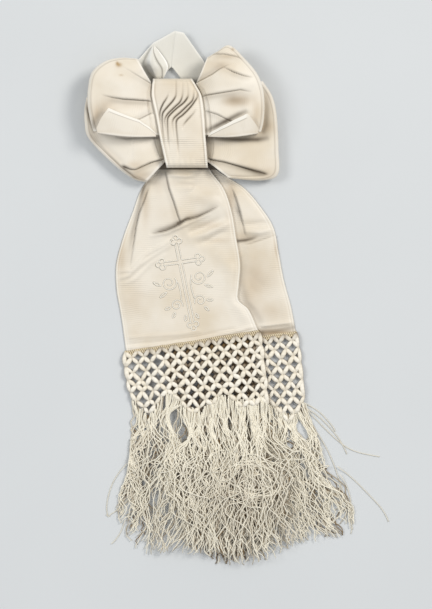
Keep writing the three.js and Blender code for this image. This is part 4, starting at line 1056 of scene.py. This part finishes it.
def stitch(name, lines):
    """Threads laid along lines on the front tail, each pinched at every stitch.

    A flat tube, wider and greyer, lies under each as a painted shade line, so that its edges show.
    """
    placed = [turned(even(line, 0.5), CROSS_TILT) + (CROSS_X, CROSS_Y) for line in lines]
    longest = max(len(line) for line in placed)
    paths = []
    for line in placed:
        at = np.linspace(0, len(line) - 1, longest)
        x, y = (np.interp(at, np.arange(len(line)), line[:, k]) for k in (0, 1))
        paths.append(np.stack([x, y, front_height(x, y) + 0.12], 1))
    paths = np.array(paths)
    run = np.linalg.norm(np.diff(paths, axis=1), axis=2).cumsum(1)
    run = np.concatenate([np.zeros((len(paths), 1)), run], 1)
    pinch = 1 - 0.22 * np.abs(np.cos(math.pi * run / STITCH_LONG))
    tone = np.full(run.shape, 0.2)
    # the wider, flatter tube under each thread, in the stain colour, is a painted shade line
    laid, shade_line_values = ({"tone": tone, "stain_and_shade": stain_and_shade + 0 * tone} for stain_and_shade in (0.05, 1))
    thread = tubes(name, paths, STITCH * pinch, 6, STITCH_THREAD, laid)
    under, radius = paths - (0, 0, SHADE_LINE_DEEP), SHADE_LINE_WIDE * STITCH + 0 * tone
    shade_line = tubes(name + "_shade_line", under, radius, 4, STITCH_THREAD, shade_line_values, SHADE_LINE_FLAT)
    return [stand_in(piece) for piece in (thread, shade_line)]


def make_embroidery():
    """A budded cross among plain scrolls and leaves, worked in laid thread."""
    right, left = -math.pi / 2 - CROSS_SKEW, math.pi / 2 - CROSS_SKEW
    cross = bar(CROSS_UP, 0) + bar(CROSS_OUT, right) + bar(CROSS_DOWN, math.pi) + bar(CROSS_OUT, left)
    made = stitch("embroidery_cross", cross)
    scrolls = []
    for side in (-1, 1):
        mirror = np.array([(side, 1)])
        half = [
            spiral(11.5, -14, 6.0, 1.2, 150, 1.55),
            spiral(9.0, -31.5, 4.6, 1.0, 200, -1.4),
            np.array([(6.4, -11.0), (4.6, -16), (4.2, -22), (5.0, -29)]),
            leaf(17.6, -15, 35), leaf(14.4, -20.4, -28), leaf(13.8, -32, -12, 4.6),
            leaf(11.2, -36.4, -55, 4.6), leaf(3.6, -40, -70, 4.6),
        ]
        scrolls += [line * mirror for line in half]
    return made + stitch("embroidery_scrolls", scrolls)


# ---------------------------------------------------------------- knotted nets

NET_CORNERS = table(
    "left_x left_y right_x right_y",
    (-41.2, -170.6, 59.4, -154.9), (-36.0, -217.5, 65.5, -204.0),  # the front net's head and foot
    (-10.5, -168.4, 87.2, -155.6), (-3.0, -216.0, 94.0, -209.0),  # the back net's
)
NET_COLUMNS, NET_ROWS = 11, 9
CORD_THIN, CORD_SWELL = 0.75, 1.05  # a cord's half width at its knots, and how much it swells between
CORD_FLAT = 0.85  # its height over its width: the cords lie pressed down
CORD_LIFT = 0.9  # the knots below hold the cords this far up
CORD_SLACK = 0.62  # how far a knot strays from its place, as a standard deviation
# painted shade on the cords' lower flanks
CORD_FLANK_SHADE = 0.75
HEADING_TURNS = 34  # along a whole net
HEADING_HIGH = 1.7  # its middle above the net's level
# The ragged line where the knotting stops and the loose threads start.
NET_FOOT = table(
    "x y",
    (-40, -205), (-31, -213), (-23.8, -222), (-17, -213), (-9.5, -201), (-4.5, -203), (3, -213), (14, -219),
    (21, -212), (29, -206), (40, -207), (52, -211), (61, -206), (71, -213), (82, -221), (96, -208),
)


def net_place(net, across, down):
    """A point of net 0 (front) or 1 (back), straight between its head and its foot."""
    head, foot = 2 * net, 2 * net + 1
    x = [mix(NET_CORNERS["left_x"][k], NET_CORNERS["right_x"][k], across) for k in (head, foot)]
    y = [mix(NET_CORNERS["left_y"][k], NET_CORNERS["right_y"][k], across) for k in (head, foot)]
    return mix(*x, down), mix(*y, down)


def net_level(net, x, y):
    """How high a net lies: the front one climbs over the back one towards its foot."""
    if net:
        return 0 * x
    return over_back(x) * mix(NET_THICK + SEAM, FRINGE_STEP, smooth(-160, -205, y))


def below_head(net, x, y):
    """How far below a net's head a point lies."""
    left, right = NET_CORNERS["left_x"][2 * net], NET_CORNERS["right_x"][2 * net]
    top = mix(NET_CORNERS["left_y"][2 * net], NET_CORNERS["right_y"][2 * net], (x - left) / (right - left))
    return top - y


def make_net(node, net, seed):
    """Lozenge meshes of plump cords, each swelling between its knots as a power of a half sine.

    Knots sit where i + j is even on a lattice of half meshes. Cords that lean one way pass over
    those that lean the other.
    """
    random = np.random.default_rng(seed)
    wide = 2 * NET_COLUMNS
    deep = NET_ROWS + 2  # the foot's lowest points reach two rows further
    i, j = np.meshgrid(np.arange(wide + 1), np.arange(deep + 1))
    slack = CORD_SLACK * random.standard_normal((2, *i.shape)) * smooth(-0.5, 1.5, j)
    knot_x, knot_y = net_place(net, i / wide, j / NET_ROWS)
    knots = np.stack([knot_x + slack[0], knot_y + slack[1]], 2)
    tied = (i + j) % 2 == 0
    starts, ends, overs = [], [], []
    for lean, drop in ((-1, 1), (1, 1), (0, 2)):
        here = tied & (j + drop <= deep) & (i + lean >= 0) & (i + lean <= wide)
        if lean == 0:
            here &= (i == 0) | (i == wide)
        a, b = i[here], j[here]
        low = knots[b + drop, a + lean]
        kept = low[:, 1] > np.interp(low[:, 0], NET_FOOT["x"], NET_FOOT["y"]) - 2
        starts.append(knots[b, a][kept])
        ends.append(low[kept])
        overs.append(np.full(kept.sum(), lean < 0))
    start, end, over = np.concatenate(starts), np.concatenate(ends), np.concatenate(overs)
    t = np.linspace(-0.04, 1.04, 11)
    hump = np.sin(math.pi * np.clip(t, 0, 1)) ** 0.8
    square = np.stack([start[:, 1] - end[:, 1], end[:, 0] - start[:, 0]], 1)
    bow = 0.035 * random.standard_normal(len(start)) + 0.03 * np.where(over, 1, -1)
    path = start[:, None] + (end - start)[:, None] * t[:, None]
    path = path + (square * bow[:, None])[:, None] * np.sin(math.pi * np.clip(t, 0, 1))[:, None]
    radius = (CORD_THIN + CORD_SWELL * hump) * random.uniform(0.85, 1.12, len(start))[:, None]
    x, y = path[..., 0], path[..., 1]
    z = net_level(net, x, y) + CORD_FLAT * radius + CORD_LIFT + np.where(over, 0.3, 0)[:, None]
    tone = np.repeat(random.uniform(0, 0.7, len(start))[:, None], len(t), 1)
    # Browner below the heading, partly stain and partly painted shade; painted shade at the cords' ends,
    # where they meet at the knots, and on the back net where the front one lies over it.
    head = smooth(6, 0, below_head(net, x, y)) * smooth(-40, -20, x)
    shade_under_front = net * smooth(60, 55, x)
    values = {"tone": tone, "stain_and_shade": np.clip(0.55 * head + 0.35 * (1 - hump) + 0.75 * shade_under_front, 0, 1)}
    paths = np.concatenate([path, z[..., None]], 2)
    piece = tubes(node + "_cords", paths, radius, 8, NET_CORD, values, CORD_FLAT, CORD_FLANK_SHADE)
    return stand_in(piece, node)


def make_heading(name, net, first, last, seed):
    """The braided edge that the net hangs from: two pairs of threads that wind round two lines."""
    random = np.random.default_rng(seed)
    t = np.linspace(first, last, int(420 * (last - first)))
    x, y = net_place(net, t, 0 * t)
    turns = HEADING_TURNS * math.tau * (t - first)
    wobble = np.interp(t, np.linspace(0, 1, 30), random.uniform(-0.3, 0.3, 30))
    level = net_level(net, x, y) + HEADING_HIGH
    paths = []
    for line, start in ((0.3, 0), (0.3, math.pi), (-1.5, 1.4), (-1.5, 1.4 + math.pi)):
        across, up = 0.75 * np.cos(turns + start), 0.6 * np.sin(turns + start)
        paths.append(np.stack([x, y - SEAM + line + wobble + across, level + up], 1))
    paths = np.array(paths)
    low = smooth(0.4, -0.5, paths[..., 2] - level)  # painted shade: the lower half of each turn is dark
    values = {"tone": 0.1 + 0.9 * low, "stain_and_shade": 0.85 * low}
    return stand_in(tubes(name, paths, 0.55 + 0 * low, 6, HEADING_THREAD, values))


# ---------------------------------------------------------------- fringes

FRONT_TIPS = table(
    "share x y",
    (0.0, -46, -290), (0.12, -38, -306), (0.25, -25, -320), (0.45, 2, -319), (0.65, 28, -323),
    (0.8, 47, -331), (1.0, 86, -314),
)
BACK_TIPS = table(
    "share x y", (0.0, 12, -318), (0.3, 44, -330), (0.6, 80, -317), (0.85, 114, -311), (1.0, 128, -300)
)
# How wide the fringe spreads at each height; threads that would go further curl back.
FRINGE_SIDES = table(
    "y left right",
    (-200, -38, 97), (-221, -37, 99), (-232, -37, 110), (-248, -38, 122), (-262, -40, 129), (-276, -46, 131),
    (-290, -48, 131), (-306, -42, 130), (-322, -30, 100), (-334, -20, 90),
)
# Places where the threads part: middle, half sizes, lean in x for each y, and the share that crosses.
PARTINGS = table(
    "x y half_x half_y lean crosses",
    (-1, -226, 6.0, 14, -0.35, 0.07), (37, -224, 1.8, 8, 0, 0.1), (66, -218, 1.5, 5, 0, 0.1),
    (112, -240, 3.5, 11, -0.3, 0.3), (-20, -280, 5, 11, 0, 0.4), (8, -294, 4, 8, 0, 0.4),
    (-29, -300, 4, 8, 0.2, 0.4), (96, -262, 1.8, 9, 0, 0.4),
)
THREAD_RADIUS = 0.46
FRINGE_STEPS = 46
BUNDLE = 11  # threads that hang from one knot of the net
TANGLED = 0.2  # share of threads that curl right round
# The waves of a thread from root to tip: how many, how wide, and whether its bundle shares them.
WAVES = table(
    "count size shared",
    (1.3, 5.0, 1), (2.3, 2.8, 1), (3.2, 2.2, 0), (6.0, 1.1, 0), (10.5, 0.65, 0), (14, 0.35, 0),
)
FRINGE_SPOTS = table(SPOT_COLUMNS, (48, -282, 30, 24, 0.5), (-30, -248, 7, 18, 0.35))
# painted shade on the threads' lower flanks
FRINGE_FLANK_SHADE = 0.12


def mound(x, y):
    """How far the fringe heaps up: highest in the middle of its lower half."""
    return smooth(-222, -262, y) * smooth(-338, -300, y) * smooth(-50, -5, x) * smooth(132, 90, x)


def make_fringe(node, net, bundles, tips, seed):
    """Loose threads: a line from a knot of the net to a tip, plus waves that grow towards the tip.

    Threads of a bundle share two slow waves and part slowly; each adds shorter ones of its own. A
    tangled thread also swings round on a slow circle. Most threads go round the partings.
    """
    random = np.random.default_rng(seed)
    bundle = np.repeat(np.arange(bundles), BUNDLE)
    count = len(bundle)
    t = np.linspace(0, 1, FRINGE_STEPS)
    root_share = (bundle + 0.5) / bundles
    share = root_share + random.uniform(-0.75, 0.75, count) / bundles + 0.02 * random.standard_normal(count)
    share = np.clip(share, 0, 1)
    root_x = net_place(net, root_share, 1)[0] + 0.9 * random.standard_normal(count)
    root_y = np.interp(root_x, NET_FOOT["x"], NET_FOOT["y"]) + random.uniform(0, 5, count)
    length = 1 - 0.22 * random.random(count) ** 2.2
    tip_x = mix(root_x, read(tips, "share", "x", share), length) + 3.5 * random.standard_normal(count)
    tip_y = mix(root_y, read(tips, "share", "y", share), length) + 3 * random.random(count)
    x = root_x[:, None] + (tip_x - root_x)[:, None] * t * mix(t, 1, 0.55)
    y = root_y[:, None] + (tip_y - root_y)[:, None] * t
    grow = smooth(-0.06, 0.4, t)
    for wave in each(WAVES):
        phases = random.uniform(0, math.tau, (count, 2))
        rate = random.uniform(0.75, 1.25, count)
        if wave["shared"]:
            phases, rate = phases[bundle], rate[bundle]
        size = wave["size"] * random.uniform(0.5, 1.3, count)[:, None] * grow
        turn = math.tau * wave["count"] * rate[:, None] * t
        x += size * (np.sin(turn + phases[:, :1]) - np.sin(phases[:, :1]) * (1 - t))
        y += 0.4 * size * np.sin(0.9 * turn + phases[:, 1:])
    swing = smooth(0, 1, (t - random.uniform(0.25, 0.6, count)[:, None]) / 0.4)
    angle = random.choice([-1, 1], count)[:, None] * swing * random.uniform(2.4, 4.6, count)[:, None]
    reach = np.where(random.random(count) < TANGLED, random.uniform(8, 20, count), 0)[:, None]
    x += reach * np.sin(angle)
    y += reach * (1 - np.cos(angle)) * 0.75 * smooth(1.0, 0.5, t)
    y = np.maximum(y, tips["y"].min() + 1)
    for p in each(PARTINGS):
        off_y = (y - p["y"]) / p["half_y"]
        middle = p["x"] + p["lean"] * (y - p["y"])
        room = p["half_x"] * np.sqrt(np.clip(1 - off_y**2, 0, 1)) * random.uniform(1.0, 1.3, count)[:, None]
        beside = np.where(((x - middle) * np.exp(-(off_y**2))).sum(1) < 0, -1, 1)[:, None]
        parts = (random.random(count) > p["crosses"])[:, None]
        goes_round = parts & (beside * (x - middle) < room) & (room > 0)
        shift = np.where(goes_round, middle + beside * room - x, 0)
        for _ in range(3):  # eased, so that a thread bends aside slowly
            shift = (np.roll(shift, 1, 1) + shift + np.roll(shift, -1, 1)) / 3
        x = x + shift
    left, right = (np.interp(-y, -FRINGE_SIDES["y"], FRINGE_SIDES[key]) for key in ("left", "right"))
    give = random.uniform(0.1, 0.7, count)[:, None]
    x = np.where(x < left, left + give * (left - x), np.where(x > right, right - give * (x - right), x))
    layer = random.random(count)[:, None]
    floor = THREAD_RADIUS + (1 - net) * FRINGE_STEP * over_back(x)
    heap = mound(x, y)
    z = floor + layer * (1.4 + 3.4 * heap) + 2.2 * (1 - net) * heap + 1.2 * smooth(0.12, 0.0, t)
    z += 0.7 * grow * np.sin(math.tau * (3.1 * t + random.random((count, 1))))
    z = mix(z, np.minimum(z, floor + 1.2), 0.7 * smooth(0.72, 1.0, t))
    z = np.maximum(z, THREAD_RADIUS + 0.15)
    radius = THREAD_RADIUS * mix(1, 0.72, t) * random.uniform(0.8, 1.15, count)[:, None]
    under = 0.3 * net * smooth(78, 55, x)  # painted shade: the back fringe is dark where the front one lies over it
    # lower layers are darker, painted shade between threads; the random part is the threads' own tone
    tone = np.clip(0.85 - 2.1 * layer + under + random.uniform(-0.3, 0.5, count)[:, None], 0, 1)
    stain_and_shade = stain_and_shade_spots(x, y, FRINGE_SPOTS) * random.uniform(0, 1.2, count)[:, None] * mix(1.2, 0.3, layer)
    stain_and_shade = np.clip(stain_and_shade, 0, 1)
    paths = np.stack([x, y, z], 2)
    thin = 0.4 * (1 - net) * smooth(0.42, 0.2, share)  # threads are lost at the left
    kept = random.random(count) > thin
    values = {"tone": tone[kept], "stain_and_shade": stain_and_shade[kept]}
    piece = tubes(
        node + "_threads", paths[kept], radius[kept], 4, FRINGE_THREAD, values, flank_shade=FRINGE_FLANK_SHADE
    )
    return stand_in(piece, node)


def make_tangle(seed=43):
    """A loose nest of threads on top of the fringe: arcs round one middle, wider than high."""
    random = np.random.default_rng(seed)
    count, t = 58, np.linspace(0, 1, 34)
    start, turn = random.uniform(0, math.tau, (count, 1)), random.uniform(1.2, 3.4, (count, 1))
    angle = start + random.choice([-1, 1], (count, 1)) * turn * t
    reach = random.uniform(5, 19, (count, 1)) * (1 + 0.12 * np.sin(3 * angle + start))
    reach = reach + 0.5 * np.sin(29 * t + 5 * start)
    x = 56 + random.normal(0, 2.5, (count, 1)) + 1.35 * reach * np.cos(angle)
    y = -268 + random.normal(0, 2.5, (count, 1)) + 0.85 * reach * np.sin(angle)
    layer = random.random((count, 1))
    z = THREAD_RADIUS + FRINGE_STEP + 3.6 + 2.6 * layer - 2.2 * smooth(0.75, 1, np.abs(2 * t - 1)) + 0 * x
    # lower layers are darker, painted shade; the random part is the threads' own tone
    tone = np.clip(0.75 - layer + random.uniform(-0.1, 0.2, (count, 1)), 0, 1) + 0 * t
    values = {"tone": tone, "stain_and_shade": 0.3 * random.random((count, 1)) + 0 * t}
    paths = np.stack([x, y, z], 2)
    return stand_in(tubes("fringe_tangle", paths, 0.4 + 0 * tone, 4, FRINGE_THREAD, values))


STRAYS = table(
    "x y bend_x bend_y to_x to_y",
    (93, -210, 121, -247, 149, -249), (94, -212, 116, -224, 124, -246), (92, -208, 108, -214, 116, -230),
    (118, -256, 143, -274, 157, -298), (-40, -254, -60, -276, -53, -292), (-41, -296, -46, -310, -51, -314),
    (88, -212, 122, -250, 129, -304), (120, -262, 134, -284, 127, -306), (-44, -284, -52, -296, -56, -292),
)


def bent(start, bend, end, t):
    """A place on a quadratic curve from start to end, drawn towards bend."""
    return mix(mix(start, bend, t), mix(bend, end, t), t)


def make_strays():
    """Single threads that lie clear of the fringe, each on a wavering bent curve."""
    t = np.linspace(0, 1, 40)
    paths = []
    for k, s in enumerate(each(STRAYS)):
        x = bent(s["x"], s["bend_x"], s["to_x"], t) + 1.1 * np.sin(7 * t + k) * t
        y = bent(s["y"], s["bend_y"], s["to_y"], t) + 0.8 * np.sin(9 * t + 2 * k) * t
        paths.append(np.stack([x, y, 0.55 + 1.2 * smooth(0.2, 0, t)], 1))
    tone = np.full((len(paths), len(t)), 0.2)
    values = {"tone": tone, "stain_and_shade": 0 * tone}
    piece = tubes("stray_threads", np.array(paths), 0.3 + 0 * tone, 5, FRINGE_THREAD, values)
    return stand_in(piece)


# ---------------------------------------------------------------- the pieces

knot = make_knot()
upper_left = make_loop(
    "upper_loop_left", -1, UPPER_WAIST, UPPER_LEFT_FOLD, UPPER_PROFILE,
    UPPER_LEFT_LAPS, UPPER_LEFT_RIDGES, UPPER_LEFT_SPOTS, UPPER_LEFT_SHADE, 1,
)
upper_right = make_loop(
    "upper_loop_right", 1, UPPER_WAIST, UPPER_RIGHT_FOLD, UPPER_PROFILE,
    UPPER_RIGHT_LAPS, UPPER_RIGHT_RIDGES, UPPER_RIGHT_SPOTS, UPPER_RIGHT_SHADE, 2,
)
lower_left = make_loop(
    "lower_loop_left", -1, LOWER_WAIST, LOWER_LEFT_FOLD, LOWER_PROFILE,
    LOWER_LEFT_LAPS, LOWER_LEFT_RIDGES, LOWER_LEFT_SPOTS, LOWER_LEFT_SHADE, 3,
)
lower_right = make_loop(
    "lower_loop_right", 1, LOWER_WAIST, LOWER_RIGHT_FOLD, LOWER_PROFILE,
    LOWER_RIGHT_LAPS, LOWER_RIGHT_RIDGES, LOWER_RIGHT_SPOTS, LOWER_RIGHT_SHADE, 4,
)
tuck_left = make_tuck("tuck_left", -1, UPPER_LEFT_FOLD, LEFT_TUCK, 7)
tuck_right = make_tuck("tuck_right", 1, UPPER_RIGHT_FOLD, RIGHT_TUCK, 8)
band, tongue = make_band(), make_tongue()
front_tail = make_tail(
    "front_tail", FRONT_TAIL, front_height, front_free, FRONT_LAPS, FRONT_SPOTS, FRONT_SHADE
)
back_tail = make_tail("back_tail", BACK_TAIL, back_height, back_free, BACK_LAPS, BACK_SPOTS, BACK_SHADE)
embroidery = make_embroidery()
front_net, back_net = make_net("net_front", 0, 21), make_net("net_back", 1, 22)
front_heading = make_heading("net_heading_front", 0, 0.0, 1.0, 31)
back_heading = make_heading("net_heading_back", 1, 0.7, 1.0, 32)
front_fringe = make_fringe("fringe_front", 0, 33, FRONT_TIPS, 41)
back_fringe = make_fringe("fringe_back", 1, 28, BACK_TIPS, 42)
tangle, strays = make_tangle(), make_strays()

# ---------------------------------------------------------------- paper, light and camera

paper = bpy.data.meshes.new("paper")
paper.from_pydata([(-3, -3, 0), (3, -3, 0), (3, 3, 0), (-3, 3, 0)], [], [(0, 1, 2, 3)])
paper.materials.append(smooth_paper("pale_paper", "#d9dde0", "#d3d7da"))
floor = bpy.data.objects.new("paper", paper)
bpy.context.scene.collection.objects.link(floor)

LIT = (0.03, -0.13, 0.0)  # the middle of the armband, in metres


def lamp(name, place, width, power, tint):
    """A square soft light at a place, turned to shine at the middle of the armband."""
    data = bpy.data.lights.new(name, "AREA")
    data.size, data.energy, data.color = width, power, colour(tint)[:3]
    made = bpy.data.objects.new(name, data)
    made.location = place
    x, y, z = np.array(place) - LIT
    made.rotation_euler = (math.atan2(math.hypot(x, y), z), 0, math.atan2(x, -y))
    bpy.context.scene.collection.objects.link(made)


lamp("key_light", (1.8, 1.1, 2.3), 1.0, 48.0, "#fffaf2")
lamp("second_light", (-2.1, 0.6, 2.3), 1.2, 31.0, "#fffdf8")
world = bpy.data.worlds.new("room")
world.use_nodes = True
world.node_tree.nodes["Background"].inputs["Color"].default_value = colour("#f3f5f8")
world.node_tree.nodes["Background"].inputs["Strength"].default_value = 0.55
bpy.context.scene.world = world
bpy.context.scene.view_settings.view_transform = "Standard"

VIEW_HIGH = 0.45675  # metres of the table from the top of the picture to its foot
CAMERA_HEIGHT = 5.5
lens = bpy.data.cameras.new("camera")
lens.sensor_fit = "VERTICAL"
lens.sensor_height = 24.0
lens.lens = 24.0 * CAMERA_HEIGHT / VIEW_HIGH
camera = bpy.data.objects.new("camera", lens)
camera.location = (0.027, -0.1346, CAMERA_HEIGHT)
bpy.context.scene.collection.objects.link(camera)
bpy.context.scene.camera = camera
